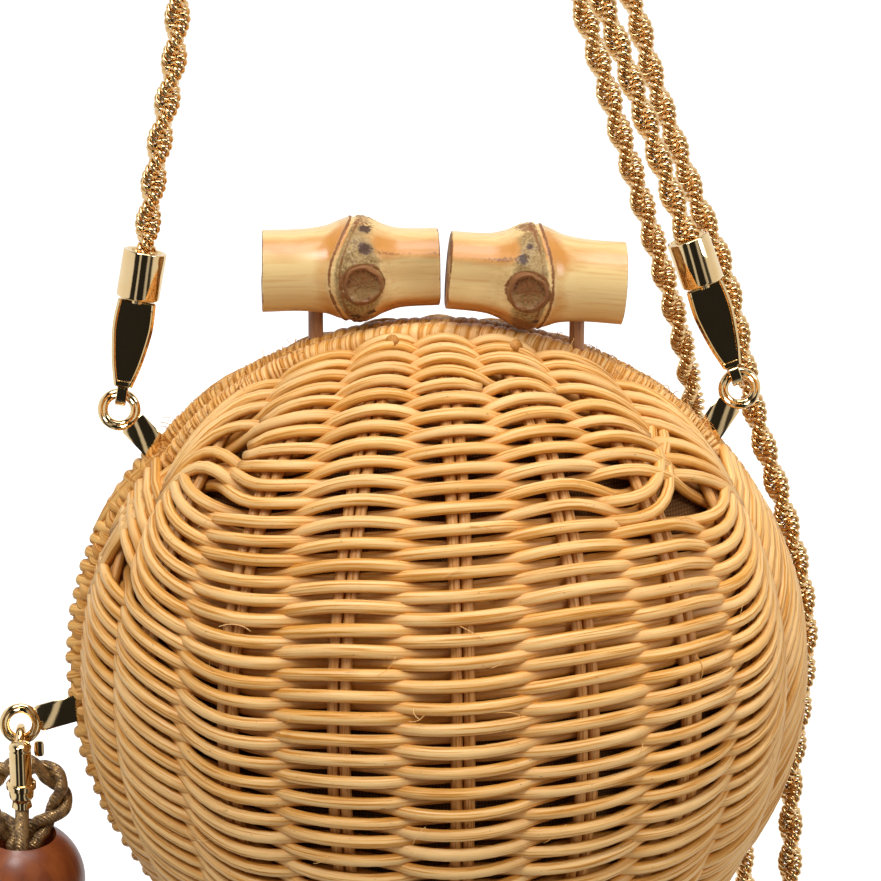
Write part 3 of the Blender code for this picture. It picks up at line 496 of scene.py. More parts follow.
def before_hoop(turn, up, reach):
    """True where the ball's front lies more than this far in front of the seam."""
    return stake_across(turn, up) ** 2 + up**2 < 1 - (reach / half_depth) ** 2


def on_ball(turn, up):
    """True where there are rows. At the top and the foot they stop short of the whipping."""
    return before_hoop(turn, up, hoop_inset + 0.0045 * eased(abs(up), 0.72, 0.92))


def stake_table(turn):
    """Heights up one stake between the rims, with the length walked to each."""
    heights = [k / 400 for k in range(-400, 401) if on_ball(turn, k / 400)]
    walked = [0.0]
    last = seat_on_ball(ball_point(stake_across(turn, heights[0]), heights[0]), 0, -1)[0]
    for up in heights[1:]:
        here = seat_on_ball(ball_point(stake_across(turn, up), up), 0, -1)[0]
        walked.append(walked[-1] + (here - last).length)
        last = here
    return heights, walked


def look_up(value, keys, values):
    """A straight-line reading of a rising table."""
    if value <= keys[0]:
        return values[0]
    for i in range(1, len(keys)):
        if value <= keys[i]:
            share = (value - keys[i - 1]) / (keys[i] - keys[i - 1])
            return values[i - 1] + share * (values[i] - values[i - 1])
    return values[-1]


def side_rise(turn):
    """How the rows rise beyond the middle towards both sides."""
    past = abs(turn) - 0.32
    return (past + math.hypot(past, 0.22)) / 2 - 0.034


def weave_plan(seed):
    """Each row's height at every stake it crosses, and its two ends: (kind, stake it doesn't cross).

    Rows come in pairs, so that a pair that ends leaves the weave's over and under in step.
    """
    dice = random.Random(seed)
    places = range(-stakes_each_side, stakes_each_side + 1)
    tables = {k: stake_table(k * stake_step) for k in places}
    lengths = {k: tables[k][1][-1] for k in places}
    pairs = round(lengths[0] / weaver_pitch / 2)
    held = {k: [] for k in places}
    crossings = {row: {} for row in range(2 * pairs)}
    ends = {row: {} for row in range(2 * pairs)}
    for pair in range(pairs):
        share = (pair + 0.5) / pairs
        rows = [2 * pair, 2 * pair + 1]
        held[0] += rows
        up = look_up(share * lengths[0], tables[0][1], tables[0][0])
        smile = max(0.26 - 0.10 * up, 0.0)
        top_weight = eased(share, 0.62, 0.92)
        for direction in (-1, 1):
            end = ("rim", direction * (stakes_each_side + 1))
            for step in range(1, stakes_each_side + 1):
                k = direction * step
                heights, walked = tables[k]
                level = up + smile * side_rise(k * stake_step) * (right_side_rise if direction > 0 else 1.0)
                if top_weight < 0.5 and not heights[0] < level < heights[-1]:
                    end = ("rim", k)
                    for row in rows:
                        crossings[row][k] = level
                    break
                wanted = look_up(level, heights, walked)
                from_top = lengths[k] - (1 - share) * lengths[0]
                wanted += top_weight * (from_top - wanted)
                if len(held[k]) * tightest_pitch[step] > wanted + dice.uniform(-0.003, 0.003):
                    end = ("fold", k)
                    break
                held[k] += rows
            for row in rows:
                ends[row][direction] = end
    for k in places:
        heights, walked = tables[k]
        for rank, row in enumerate(held[k]):
            jitter = dice.uniform(-0.11, 0.11)
            crossings[row][k] = look_up((rank + 0.5 + jitter) / len(held[k]) * lengths[k], walked, heights)
        for row in crossings:
            if ("fold", k) in ends[row].values():
                rank = len([other for other in held[k] if other < row])
                crossings[row][k] = look_up(rank / len(held[k]) * lengths[k], walked, heights)
    return crossings, ends


def row_up(crossing, place):
    """How high a row is at this place: a smooth curve through its crossings, straight past its ends."""
    keys = sorted(crossing)
    low = max([k for k in keys if k <= place], default=keys[0])
    high = min([k for k in keys if k > place], default=keys[-1])
    if low == high:
        if len(keys) == 1:
            return crossing[low]
        inner = low - 1 if low == keys[-1] else low + 1
        slope = (crossing[low] - crossing[inner]) / (low - inner)
        return crossing[low] + slope * (place - low)
    before = crossing.get(low - 1, 2 * crossing[low] - crossing[high])
    after = crossing.get(high + 1, 2 * crossing[high] - crossing[low])
    lead = (crossing[high] - before) / 2
    tail = (after - crossing[low]) / 2
    return cubic(crossing[low], lead, crossing[high], tail, place - low)


def rim_place(crossing, direction):
    """The place where a row meets the hoop on this side."""
    place = 0.0
    while abs(place) < last_place and on_ball(place * stake_step, row_up(crossing, place)):
        place += direction * 0.02
    return place - direction * 0.02


def weaver_line(row, crossing, ends, facing):
    """Points and outward normals along one weaver, and the height at which it meets each rim, or None."""
    limits = {}
    meets = {}
    for direction in (-1, 1):
        kind, stake = ends[direction]
        limits[direction] = rim_place(crossing, direction)
        meets[direction] = row_up(crossing, limits[direction])
        short = stake - direction * fold_back
        if kind == "fold" and abs(short) < abs(limits[direction]):
            limits[direction] = short
            meets[direction] = None
    line = []
    span = limits[1] - limits[-1]
    count = max(4, math.ceil(span * 8))
    for i in range(count + 1):
        place = limits[-1] + span * i / count
        up = row_up(crossing, place)
        swing = math.cos(math.pi * (place + row))
        out = weave_swing * math.copysign(abs(swing) ** 0.8, swing)
        for direction in (-1, 1):
            left_over = abs(limits[direction] - place)
            if meets[direction] is None:
                out += (1 - eased(left_over, 0.0, 0.2)) * (0.0006 - max(out, 0.0006))
            else:
                over_hoop = -0.0030 if row % 2 else stake_plane - hoop_inset + hoop_wrap
                if not lowest_hoop_turn < meets[direction] < highest_hoop_turn:
                    over_hoop = -0.0022
                out += (1 - eased(left_over, 0.0, 0.36)) * (over_hoop - out)
        unit = ball_point(stake_across(place * stake_step, up), up)
        # The third value is how sunk the weaver lies here. Its material paints shade by it where the weaver
        # passes under a pair.
        line.append((*seat_on_ball(unit, out, facing), 0.5 - out / weave_swing / 2))
    return line, meets


def hoop_turn(direction, start_up, end_up, facing):
    """A weaver's way round the hoop: from the outside over the seam's face to the inside."""
    line = []
    for k in range(1, 10):
        turn = math.pi * k / 9
        up = start_up + (end_up - start_up) * k / 9
        edge, normal = outline_point(Vector((direction * math.sqrt(1 - up**2), 0, up)), facing)
        depth = facing * (hoop_inset - hoop_wrap * math.sin(turn))
        point = edge - normal * hoop_inset + normal * hoop_wrap * math.cos(turn) + Vector((0, depth, 0))
        # k / 12 is how sunk the turn lies. Its painted shade deepens as it goes round to the inside of the
        # hoop.
        line.append((bag_middle + point, between(normal, Vector((0, -facing, 0)), turn), k / 12))
    return line


def stake_lines(k, facing):
    """The two reeds of one pair of stakes, from the lower rim to the upper one."""
    heights = [-1 + j / 60 for j in range(121)]
    lines = []
    for side in (-1, 1):
        line = []
        for up in heights:
            if not before_hoop(k * stake_step, up, hoop_inset):
                continue
            unit = ball_point(stake_across(k * stake_step, up), up)
            point, normal = seat_on_ball(unit, 0.0, facing)
            level = Vector((0, 0, 1)).cross(normal).normalized()
            # 0.55: the stakes lie half sunk under the weavers, and take that much painted shade.
            line.append((point + level * side * stake_half_gap, normal, 0.55))
        lines.append(line)
    return lines


def end_faces(first, rings, sides):
    """The two faces that close a run of rings."""
    last = first + (rings - 1) * sides
    return [tuple(first + j for j in reversed(range(sides))), tuple(last + j for j in range(sides))]


def keep_vectors(piece, **attributes):
    """Keeps a vector for each point of the piece, under a name that its material reads."""
    for name, values in attributes.items():
        kept = piece.data.attributes.new(name, "FLOAT_VECTOR", "POINT")
        kept.data.foreach_set("vector", [part for value in values for part in value])


def reed_mesh(name, reeds, sides):
    """Many reeds as one mesh. Each is (line, half width, half thickness, tone).

    A line's points are (point, normal, how sunk). Two attributes go with the mesh: lay, the place along and
    round the reed, and look, which is its tone, how sunk it lies and how near its crown the point is. The
    material paints shade by how sunk a point lies, and light by how near its crown it is.
    """
    verts = []
    faces = []
    lay = []
    looks = []
    rolls = turns(sides)
    for line, half_wide, half_thick, tone in reeds:
        if len(line) < 3:
            continue
        faces += ring_faces(len(verts), len(line), sides) + end_faces(len(verts), len(line), sides)
        walked = 0.0
        for i, (point, normal, sunk) in enumerate(line):
            ahead = line[min(i + 1, len(line) - 1)][0]
            behind = line[max(i - 1, 0)][0]
            along = (ahead - behind).normalized()
            across = along.cross(normal).normalized()
            if i:
                walked += (point - line[i - 1][0]).length
            out = across.cross(along)
            for roll in rolls:
                verts.append(point + across * half_wide * math.cos(roll) + out * half_thick * math.sin(roll))
                lay.append((walked + tone * 3, math.cos(roll) * half_wide, math.sin(roll) * half_thick))
                looks.append((tone, sunk, math.sin(roll)))
    piece = mesh_object(name, verts, faces)
    keep_vectors(piece, lay=lay, look=looks)
    return piece


def attribute(tree, name):
    """The outputs of a node that reads an attribute of the mesh."""
    made = tree.nodes.new("ShaderNodeAttribute")
    made.attribute_name = name
    return made.outputs


def stretched_noise(tree, place, stretch, detail, distortion=0.0):
    """Noise in a place that is drawn out. The larger the stretch along a way, the finer the grain."""
    drawn = tree.nodes.new("ShaderNodeVectorMath")
    drawn.operation = "MULTIPLY"
    feed(tree, drawn.inputs[0], place)
    feed(tree, drawn.inputs[1], stretch)
    made = new_node(tree, "ShaderNodeTexNoise", Vector=drawn.outputs["Vector"], Scale=1.0, Detail=detail)
    return set_sockets(tree, made, Distortion=distortion).outputs["Fac"]


def reed_group():
    """Peeled reed: pale and tan streaks along it, a tone of its own, dark specks, a painted lit crown and
    painted shade.
    """
    group, given, out = new_group(
        "reed_skin",
        {"Pale": (0.86, 0.62, 0.32), "Mid": (0.76, 0.47, 0.18), "Dark": (0.52, 0.26, 0.07)},
        ("Color", "Roughness", "Height"),
    )
    lay = attribute(group, "lay")["Vector"]
    looks = new_node(group, "ShaderNodeSeparateXYZ", Vector=attribute(group, "look")["Vector"]).outputs
    fibre = stretched_noise(group, lay, (50, 1900, 1900), 4.0)
    blotch = stretched_noise(group, lay, (40, 220, 220), 2.0)
    specks = stretched_noise(group, lay, (700, 1500, 1500), 1.0)
    # Painted light: the side of each reed that faces out is made paler, as if lit.
    crown = ranged(group, looks["Z"], -0.35, 0.85)
    streaked = worked_out(group, "ADD", ranged(group, fibre, 0.32, 0.66, -0.75, 0.45), crown)
    streaked = worked_out(group, "ADD", streaked, ranged(group, looks["X"], 0.0, 1.0, -0.25, 0.15))
    body = mixed(group, ranged(group, streaked, 0.25, 1.05), given["Mid"], given["Pale"])
    blotched = ranged(group, blotch, 0.45, 0.75, 0.0, 0.35)
    # Painted shade: where a reed lies sunk under its neighbours, and on its inner side, it darkens towards
    # Dark. The blotches added in are the reed's own tone.
    depth = worked_out(group, "ADD", ranged(group, looks["Y"], 0.25, 1.0, 0.0, 0.62), blotched)
    depth = worked_out(group, "ADD", depth, ranged(group, looks["Z"], 0.1, -0.7, 0.0, 0.5))
    shaded = mixed(group, worked_out(group, "MINIMUM", depth, 0.95), body, given["Dark"])
    shaded = mixed(group, ranged(group, fibre, 0.47, 0.33, 0.0, 0.85), shaded, given["Dark"])
    nicks = worked_out(group, "MULTIPLY", ranged(group, specks, 0.73, 0.80), 0.55)
    skin = mixed(group, nicks, shaded, (0.16, 0.06, 0.015))
    set_sockets(group, out, Color=skin, Roughness=ranged(group, fibre, 0.2, 0.8, 0.60, 0.36), Height=fibre)
    return group


reed_skin = reed_group()


def reed_material(name, pale, mid, dark):
    values = {"Pale": pale, "Mid": mid, "Dark": dark}
    return finish(name, reed_skin, values, 0.5, 0.00025, Specular_IOR_Level=0.4)


def basket(name, facing, body, node, seed, weaver_skin, stake_skin):
    """One half: its weavers and its stakes."""
    dice = random.Random(seed)
    crossings, ends = weave_plan(seed)
    lines = {row: weaver_line(row, crossings[row], ends[row], facing) for row in crossings}
    weavers = []
    for row, (line, meets) in lines.items():
        if row % 2 == 0:
            partner = lines[row + 1][1]
            for direction in (-1, 1):
                start_up = meets[direction]
                end_up = partner[direction]
                if None not in (start_up, end_up) and lowest_hoop_turn < start_up < highest_hoop_turn:
                    turned = hoop_turn(direction, start_up, end_up, facing)
                    line = line + turned if direction > 0 else turned[::-1] + line
        size = dice.uniform(0.93, 1.06)
        weavers.append((line, weaver_half_width * size, weaver_half_thickness * size, dice.random()))
    stakes = []
    for k in range(-stakes_each_side, stakes_each_side + 1):
        for line in stake_lines(k, facing):
            stakes.append((line, stake_half_width, stake_half_thickness, dice.random()))
    dress(reed_mesh(name + "_weavers", weavers, 10), weaver_skin, body, node)
    dress(reed_mesh(name + "_stakes", stakes, 10), stake_skin, body, node)


front_reed = reed_material("front_reed", (0.92, 0.58, 0.24), (0.80, 0.38, 0.07), (0.52, 0.19, 0.012))
front_upright = reed_material("front_stake_reed", (0.86, 0.49, 0.18), (0.68, 0.31, 0.06), (0.42, 0.14, 0.01))
# The rear half's reeds are darker copies of the front's: painted shade on the rear half.
rear_reed = reed_material("rear_reed", (0.84, 0.48, 0.15), (0.66, 0.30, 0.045), (0.40, 0.13, 0.006))
rear_upright_in_painted_shade = reed_material("rear_stake_reed_in_painted_shade", (0.76, 0.40, 0.12), (0.58, 0.25, 0.04), (0.34, 0.11, 0.006))
basket("front", -1, "front_half", "front_basket", 7, front_reed, front_upright)
basket("rear", 1, "rear_half", "rear_basket", 11, rear_reed, rear_upright_in_painted_shade)


# The rims: a hoop in each half's edge. A fine cane binding covers the hoop at the sides, fuzzy raffia at
# the shoulders, and broad split reed, which is wound on side by side, at the clasp and at the hinge.

seam_gap = 0.0001


def rim_form(turn):
    """The binding's half depth and height, inset, wrap width, unevenness and sideness at this turn."""
    from_top = abs(math.degrees(turn))
    broad = 1 - eased(from_top, 18.0, 22.0)
    foot = eased(from_top, 150.0, 156.0)
    full = max(broad, foot)
    fuzzy = eased(from_top, 18.0, 22.0) * (1 - eased(from_top, 40.0, 52.0))
    side = eased(from_top, 46.0, 56.0) * (1 - foot)
    half_deep = 0.0026 + 0.0009 * full + 0.0006 * fuzzy
    half_high = 0.0027 + 0.0011 * full + 0.0007 * fuzzy
    inset = 0.0038 + 0.0002 * full - 0.0002 * fuzzy
    width = 0.0013 + 0.0017 * full + 0.0027 * side
    return half_deep, half_high, inset, width, 0.12 + 0.4 * fuzzy, side


def bound_rim(name, facing, body, node, seed, skin):
    """A hoop's binding, turn by turn. Each turn's width, height and slant are drawn anew."""
    dice = random.Random(seed)
    sides = 22
    mean_height = 0.0867
    profile = ((0.0, 0.0), (0.1, 0.55), (0.28, 0.92), (0.5, 1.0), (0.72, 0.92), (0.9, 0.55))
    verts = []
    lay = []
    looks = []
    turn = -math.pi
    rings = 0
    while turn < math.pi:
        half_deep, half_high, inset, width, uneven, side = rim_form(turn)
        width *= dice.uniform(1 - uneven, 1 + uneven)
        step = width / math.hypot(half_width * math.cos(turn), mean_height * math.sin(turn))
        tone = dice.random()
        proud = dice.uniform(0.00030, 0.00055) + 0.0006 * (uneven - 0.12) * dice.random() + 0.0005 * side
        lean = dice.uniform(0.2, 0.5) * width + 0.0012 * side
        for share, dome in profile:
            here = turn + step * share
            point, normal = outline_point(Vector((math.sin(here), 0, math.cos(here))), facing)
            along = Vector((normal.z, 0, -normal.x))
            middle = point - normal * inset + Vector((0, facing * (half_deep + seam_gap), 0))
            bulge = dome * proud
            for roll in turns(sides):
                cosine = math.copysign(abs(math.cos(roll)) ** 0.75, math.cos(roll))
                sine = math.copysign(abs(math.sin(roll)) ** 0.75, math.sin(roll))
                offset = normal * cosine * (half_high - 0.0004 - 0.0007 * side + bulge)
                offset += Vector((0, sine * (half_deep - 0.0003 - 0.0005 * side + bulge), 0))
                verts.append(bag_middle + middle + offset + along * lean * math.sin(roll))
                lay.append((roll * half_high + tone * 3, share * width, tone))
                # Painted shade in the hollows between the binding's turns, and painted light on each turn's
                # crown.
                looks.append((tone, 0.45 - 0.3 * bulge / proud, dome * 1.6 - 0.7))
            rings += 1
        turn += step
    faces = ring_faces(0, rings, sides, looped=True)
    rim = mesh_object(name, verts, faces if facing > 0 else [face[::-1] for face in faces])
    keep_vectors(rim, lay=lay, look=looks)
    dress(rim, skin, body, node)


bound_rim("front_binding", -1, "front_half", "front_rim", 3, front_reed)
bound_rim("rear_binding", 1, "rear_half", "rear_rim", 5, rear_reed)


# Loose ends: the raffia at the shoulders frays, a few fibres stand off the weave, and two stakes are cut
# off flush in the top row, where their porous ends show.

def stray_fibre(start, normal, dice, length):
    """A thin curling line that leaves the surface at a low angle."""
    level = normal.cross(Vector((dice.uniform(-1, 1), dice.uniform(-1, 1), dice.uniform(-1, 1)))).normalized()
    heading = (level + normal * dice.uniform(0.15, 0.7)).normalized()
    curl = normal.cross(heading).normalized() * dice.uniform(-0.5, 0.5) - normal * dice.uniform(0.0, 0.5)
    line = []
    for k in range(9):
        line.append((start + heading * length * k / 8, normal, 0.1))
        heading = (heading + curl * 0.25).normalized()
    return line, dice.uniform(0.00006, 0.00012), 0.00006, dice.random()


def loose_fibres(name, facing, body, seed, skin, on_weave):
    """The frayed raffia at both shoulders, and a number of fibres that stand off the weave."""
    dice = random.Random(seed)
    on_shoulder = 90
    fibres = []
    for side in (-1, 1):
        for _ in range(on_shoulder):
            turn = side * math.radians(dice.uniform(19, 53))
            point, normal = outline_point(Vector((math.sin(turn), 0, math.cos(turn))), facing)
            roll = dice.uniform(-1.2, 1.2)
            half_deep, half_high, inset, *_ = rim_form(turn)
            spot = point - normal * inset + Vector((0, facing * (half_deep + seam_gap), 0))
            out = between(normal, Vector((0, 1, 0)), roll)
            start = bag_middle + spot + normal * math.cos(roll) * half_high
            start += Vector((0, math.sin(roll) * half_deep, 0))
            fibres.append(stray_fibre(start, out, dice, dice.uniform(0.0015, 0.0050)))
    for _ in range(on_weave):
        turn = math.radians(dice.uniform(-60, 60))
        up = dice.uniform(-0.6, 0.75)
        start, normal = seat_on_ball(ball_point(stake_across(turn, up), up), weave_swing + 0.0009, facing)
        fibres.append(stray_fibre(start, normal, dice, dice.uniform(0.003, 0.008)))
    dress(reed_mesh(name, fibres, 5), skin, body)


loose_fibres("front_loose_fibres", -1, "front_half", 21, front_reed, 34)
loose_fibres("rear_loose_fibres", 1, "rear_half", 22, rear_reed, 20)

cut_stakes = []
for across, deep, up, tone in ((-0.0110, -0.0143, 0.0816, 0.3), (0.0175, -0.0156, 0.0804, 0.6)):
    cut_face = bag_middle + Vector((across, deep, up))
    cut_way = Vector((across * 2, -0.06, 0.045)).normalized()
    cut_line = [(cut_face + cut_way * (0.0010 - 0.0011 * k), Vector((0, 0, 1)), 0.8) for k in range(6)]
    cut_stakes.append((cut_line, 0.00160, 0.00155, tone))
dress(reed_mesh("cut_stake_ends", cut_stakes, 14), front_upright, "front_half")


# The linings: a bag of brown cotton in each half, stitched to its rim. It lies in shadow behind the weave.
# Its brown is partly the cotton's own and partly painted shade, set to the deep brown that the gaps show.

def lining_group():
    """Plain-woven cotton: fine crossed threads, seen as height and a slight change of tone."""
    group, given, out = new_group(
        "lining_cloth", {"Thread": (0.03, 0.025, 0.02), "Gap": (0.01, 0.01, 0.01)}, ("Color", "Height")
    )
    place = group.nodes.new("ShaderNodeTexCoord").outputs["Object"]
    threads = []
    for direction in ("X", "Z"):
        wave = new_node(group, "ShaderNodeTexWave", Vector=place, Scale=420.0, Distortion=0.6)
        wave.bands_direction = direction
        threads.append(wave.outputs["Fac"])
    both = worked_out(group, "MULTIPLY", threads[0], threads[1])
    set_sockets(group, out, Color=mixed(group, both, given["Gap"], given["Thread"]), Height=both)
    return group


# Partly painted shade: the cotton's brown is set dark, so that the gaps show deep brown.
cotton = {"Thread": (0.27, 0.125, 0.043), "Gap": (0.13, 0.058, 0.02)}
lining_cloth = finish(
    "lining_cloth", lining_group(), cotton, 0.4, 0.0002, Roughness=0.95, Specular_IOR_Level=0.1
)


def lining(name, facing, body, node):
    """A thin bowl inside the weave, with soft vertical tucks and a turned edge at the seam."""
    inset = 0.0084
    thickness = 0.0009
    around = 72
    deep = 26
    edge_tilt = math.radians(90.0 - 2.4)
    verts = []
    for layer in (0, 1):
        for i in range(deep + 1):
            tilt = edge_tilt * (deep - i) / deep
            for turn in turns(around):
                flat = math.sin(tilt)
                unit = Vector((math.sin(turn) * flat, -math.cos(tilt), math.cos(turn) * flat))
                tuck = 0.0004 * math.sin(9 * turn) * flat
                verts.append(seat_on_ball(unit, stake_plane - inset - layer * thickness + tuck, facing)[0])
    layer_size = (deep + 1) * around
    faces = [face[::-1] for face in ring_faces(0, deep + 1, around)]
    faces += ring_faces(layer_size, deep + 1, around)
    for j in range(around):
        k = (j + 1) % around
        faces.append((j, k, layer_size + k, layer_size + j))
    dress(mesh_object(name, verts, faces), lining_cloth, body, node)


lining("front_lining_cloth", -1, "front_half", "front_lining")
lining("rear_lining_cloth", 1, "rear_half", "rear_lining")


# The lugs: three stamped brass strips with a cast eye at the end, gold-plated. Each strip's tail runs into
# the rear rim between the binding's turns. The eye is a ring with a groove down its middle.

def face_outwards(piece, crease):
    """Turns a closed mesh's faces outwards, and keeps edges that are sharper than this angle crisp."""
    turned = bmesh.new()
    turned.from_mesh(piece.data)
    bmesh.ops.recalc_face_normals(turned, faces=turned.faces)
    turned.to_mesh(piece.data)
    turned.free()
    piece.data.set_sharp_from_angle(angle=math.radians(crease))


def solid_piece(name, parts, crease=38.0):
    """One mesh of several skins. Each is (rings of points, True if the last ring joins the first)."""
    verts = []
    faces = []
    for rings, looped in parts:
        first = len(verts)
        sides = len(rings[0])
        for ring in rings:
            verts += ring
        faces += ring_faces(first, len(rings), sides, looped)
        if not looped:
            faces += end_faces(first, len(rings), sides)
    piece = mesh_object(name, verts, faces)
    face_outwards(piece, crease)
    return piece


def lathe(origin, axis, profile, steps=48):
    """Rings about an axis through the origin, one for each (radius, way along the axis)."""
    axis = Vector(axis).normalized()
    side = axis.orthogonal().normalized()
    other = axis.cross(side)
    return [
        [origin + axis * way + between(side, other, turn) * radius for turn in turns(steps)]
        for radius, way in profile
    ]


def bar_rings(origin, along, across, stations, outline):
    """Rings of one outline, given by a function of the station, at each way along a straight line."""
    out = along.cross(across)
    return [
        [origin + along * way + across * x + out * y for x, y in outline(number)]
        for number, way in enumerate(stations)
    ]


polished_gold = gold_material("polished_gold", (0.82, 0.58, 0.27), (0.90, 0.70, 0.42), 0.06)
left_end_way = (left_chain_end - Vector((-0.0527094, -0.0131, -0.2550615))).normalized()
right_end_way = (right_chain_end - Vector((0.0937787, -0.0131, -0.2516298))).normalized()
left_contact = Vector((-0.0527094, -0.0111, -0.2550615))
right_contact = Vector((0.0937787, -0.0111, -0.2516298))
charm_contact = Vector((-0.0785997, -0.0111, -0.3401992))
eye_ring_radius = 0.0039


def grooved_ring():
    """(distance from the eye's axis, depth) round the section of an eye, which is two beads side by side."""
    section = []
    for turn in turns(28):
        pinch = 1 - 0.42 * math.exp(-math.cos(turn) ** 2 / 0.07)
        section.append((eye_ring_radius + 0.00122 * math.cos(turn), 0.0010 * math.sin(turn) * pinch))
    return section


def lug(name, eye, angle, reach, node):
    along = Vector((math.cos(angle), 0, math.sin(angle)))
    across = Vector((0, 1, 0)).cross(along)
    half_wide = 0.00325
    half_thick = 0.0006
    edge = 0.00045

    def outline(number):
        cut = 0.0004 if number in (0, 3) else 0.0
        x = half_wide - cut
        y = half_thick - cut * 0.5
        return [
            (-x + 0.0007, -y), (x - 0.0007, -y), (x, -y + edge), (x, y - 0.0001),
            (x - 0.0001, y), (-x + 0.0001, y), (-x, y - 0.0001), (-x, -y + edge),
        ]

    start = eye_ring_radius + 0.0004
    strip = bar_rings(eye, along, across, (start, start + 0.0005, reach - 0.0005, reach), outline)
    ring = lathe(eye, (0, 1, 0), grooved_ring(), 64)
    dress(solid_piece(name, [(strip, False), (ring, True)]), polished_gold, "rear_half", node)


left_eye = left_contact - left_end_way * eye_ring_radius
right_eye = right_contact - right_end_way * eye_ring_radius
charm_eye = charm_contact + Vector((0, 0, eye_ring_radius))
lug("left_strap_lug", left_eye, math.radians(-47.5), 0.01595, "left_lug")
lug("right_strap_lug", right_eye, math.radians(-124.0), 0.01656, "right_lug")
lug("hanging_charm_lug", charm_eye, math.radians(15.5), 0.01703, "charm_lug")


# The strap ends: a die-cast plate with a raised border, whose foot is bent through the lug's eye. A shank
# on its top is riveted over inside the ferrule and turns there. Plated and polished; the field is bare.

before_contact = Vector((0, -0.0020, 0))


def strap_plate(name, contact, way, body, node):
    across = Vector((way.z, 0, -way.x))
    line_start = contact + before_contact
    half_thick = 0.0009
    stations = [0.0021, 0.0024, 0.0034, 0.0036]
    stations += [0.0036 + 0.0172 * k / 14 for k in range(1, 15)]
    stations += [0.0214, 0.0227, 0.0231]
    ways_up = (0.0, 0.0019, 0.0079, 0.0152, 0.0185, 0.0231)
    half_widths = (0.00215, 0.00215, 0.00361, 0.0047, 0.0048, 0.0045)

    def outline(number):
        way_up = stations[number]
        at_end = number in (0, len(stations) - 1)
        edge = 0.00028
        x = smooth_reading(way_up, ways_up, half_widths) - (edge if at_end else 0.0)
        y = half_thick - (edge if at_end else 0.0)
        crest = 0.00055
        inner = 0.00095
        sunk = 0.00005 if number < 3 or number > len(stations) - 3 else 0.00035
        return [
            (-x + crest, -y), (-x + crest + 0.0001, -y), (-x + inner, -y + sunk),
            (x - inner, -y + sunk), (x - crest - 0.0001, -y), (x - crest, -y), (x, -y + 0.00042),
            (x, y - edge), (x - edge, y), (-x + edge, y), (-x, y - edge), (-x, -y + 0.00042),
        ]

    plate = bar_rings(line_start, way, across, stations, outline)
    half = 0.0013
    eased_half = half - 0.0002
    curl = lathe(contact, across, [
        (0.00196, -eased_half), (0.00215, -half), (0.0027, -half), (0.0029, -eased_half),
        (0.0029, eased_half), (0.0027, half), (0.00215, half), (0.00196, eased_half),
    ], 40)
    shank_profile = [(0.0014, 0.0225), (0.0014, 0.0259), (0.0027, 0.0260), (0.0027, 0.0271)]
    shank = lathe(line_start, way, shank_profile, 32)
    shown = solid_piece(name, [(plate, False), (curl, True), (shank, False)], 24.0)
    dress(shown, polished_gold, body, node)


def smooth_reading(value, keys, values):
    """A smooth curve's reading of a rising table."""
    if value <= keys[0]:
        return values[0]
    if value >= keys[-1]:
        return values[-1]
    i = max(k for k in range(len(keys) - 1) if keys[k] <= value)
    span = keys[i + 1] - keys[i]
    before = max(i - 1, 0)
    after = min(i + 2, len(keys) - 1)
    lead = (values[i + 1] - values[before]) / (keys[i + 1] - keys[before]) * span
    tail = (values[after] - values[i]) / (keys[after] - keys[i]) * span
    return cubic(values[i], lead, values[i + 1], tail, (value - keys[i]) / span)


strap_plate("left_end_plate", left_contact, left_end_way, "left_strap_end", "left_strap_plate")
strap_plate("right_end_plate", right_contact, right_end_way, "right_strap_end", "right_strap_plate")


# The ferrules: turned brass cups, plated and polished. The chain's last links are glued in from above,
# and the plate's shank turns in the hole in the floor.

def ferrule(name, contact, way, node):
    foot = 0.0236
    top = foot + 0.0116
    profile = [
        (0.0017, foot), (0.0042, foot), (0.0047, foot + 0.00012), (0.00503, foot + 0.0004),
        (0.00515, foot + 0.0008), (0.00515, top - 0.0003), (0.00505, top - 0.00006), (0.0049, top),
        (0.0042, top), (0.0039, top - 0.0003),
        (0.0039, foot + 0.0022), (0.0037, foot + 0.0020), (0.0017, foot + 0.0020),
    ]
    shown = solid_piece(name, [(lathe(contact + before_contact, way, profile, 72), True)], 50.0)
    dress(shown, polished_gold, "strap", node)


ferrule("left_chain_cup", left_contact, left_end_way, "left_ferrule")
ferrule("right_chain_cup", right_contact, right_end_way, "right_ferrule")


# The posts: turned pegs of brown-stained hardwood. Each stands in a rim's hoop and in its knob, glued at
# both ends. They keep their CAD shape and get the wood's grain along them.

def wood_group():
    """Turned wood: long fibre along the way of the least stretch, in two tones and a little relief."""
    group, given, out = new_group(
        "turned_wood",
        {"Light": (0.4, 0.2, 0.1), "Dark": (0.2, 0.1, 0.05), "Stretch": Vector((900, 900, 90))},
        ("Color", "Roughness", "Height"),
    )
    place = group.nodes.new("ShaderNodeTexCoord").outputs["Object"]
    grain = stretched_noise(group, place, given["Stretch"], 5.0, 0.6)
    tone = mixed(group, ranged(group, grain, 0.3, 0.7), given["Light"], given["Dark"])
    set_sockets(group, out, Color=tone, Roughness=ranged(group, grain, 0.0, 1.0, 0.30, 0.48), Height=grain)
    return group


turned_wood = wood_group()


def wood_material(name, light, dark, stretch, coat):
    values = {"Light": light, "Dark": dark, "Stretch": stretch}
    return finish(name, turned_wood, values, 0.15, 0.0001, Coat_Weight=coat, Coat_Roughness=0.22)


post_peg = wood_material("stained_peg", (0.46, 0.22, 0.085), (0.26, 0.105, 0.04), (900, 900, 110), 0.2)
for post in ("left_post", "right_post"):
    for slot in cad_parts[post].material_slots:
        slot.material = post_peg


# The knobs: two lengths of bamboo, sawn either side of one node each and polished. The node swells, with
# a ridge where the sheath grew, the disc of a cut bud below the front and small scars. Glued on the posts.

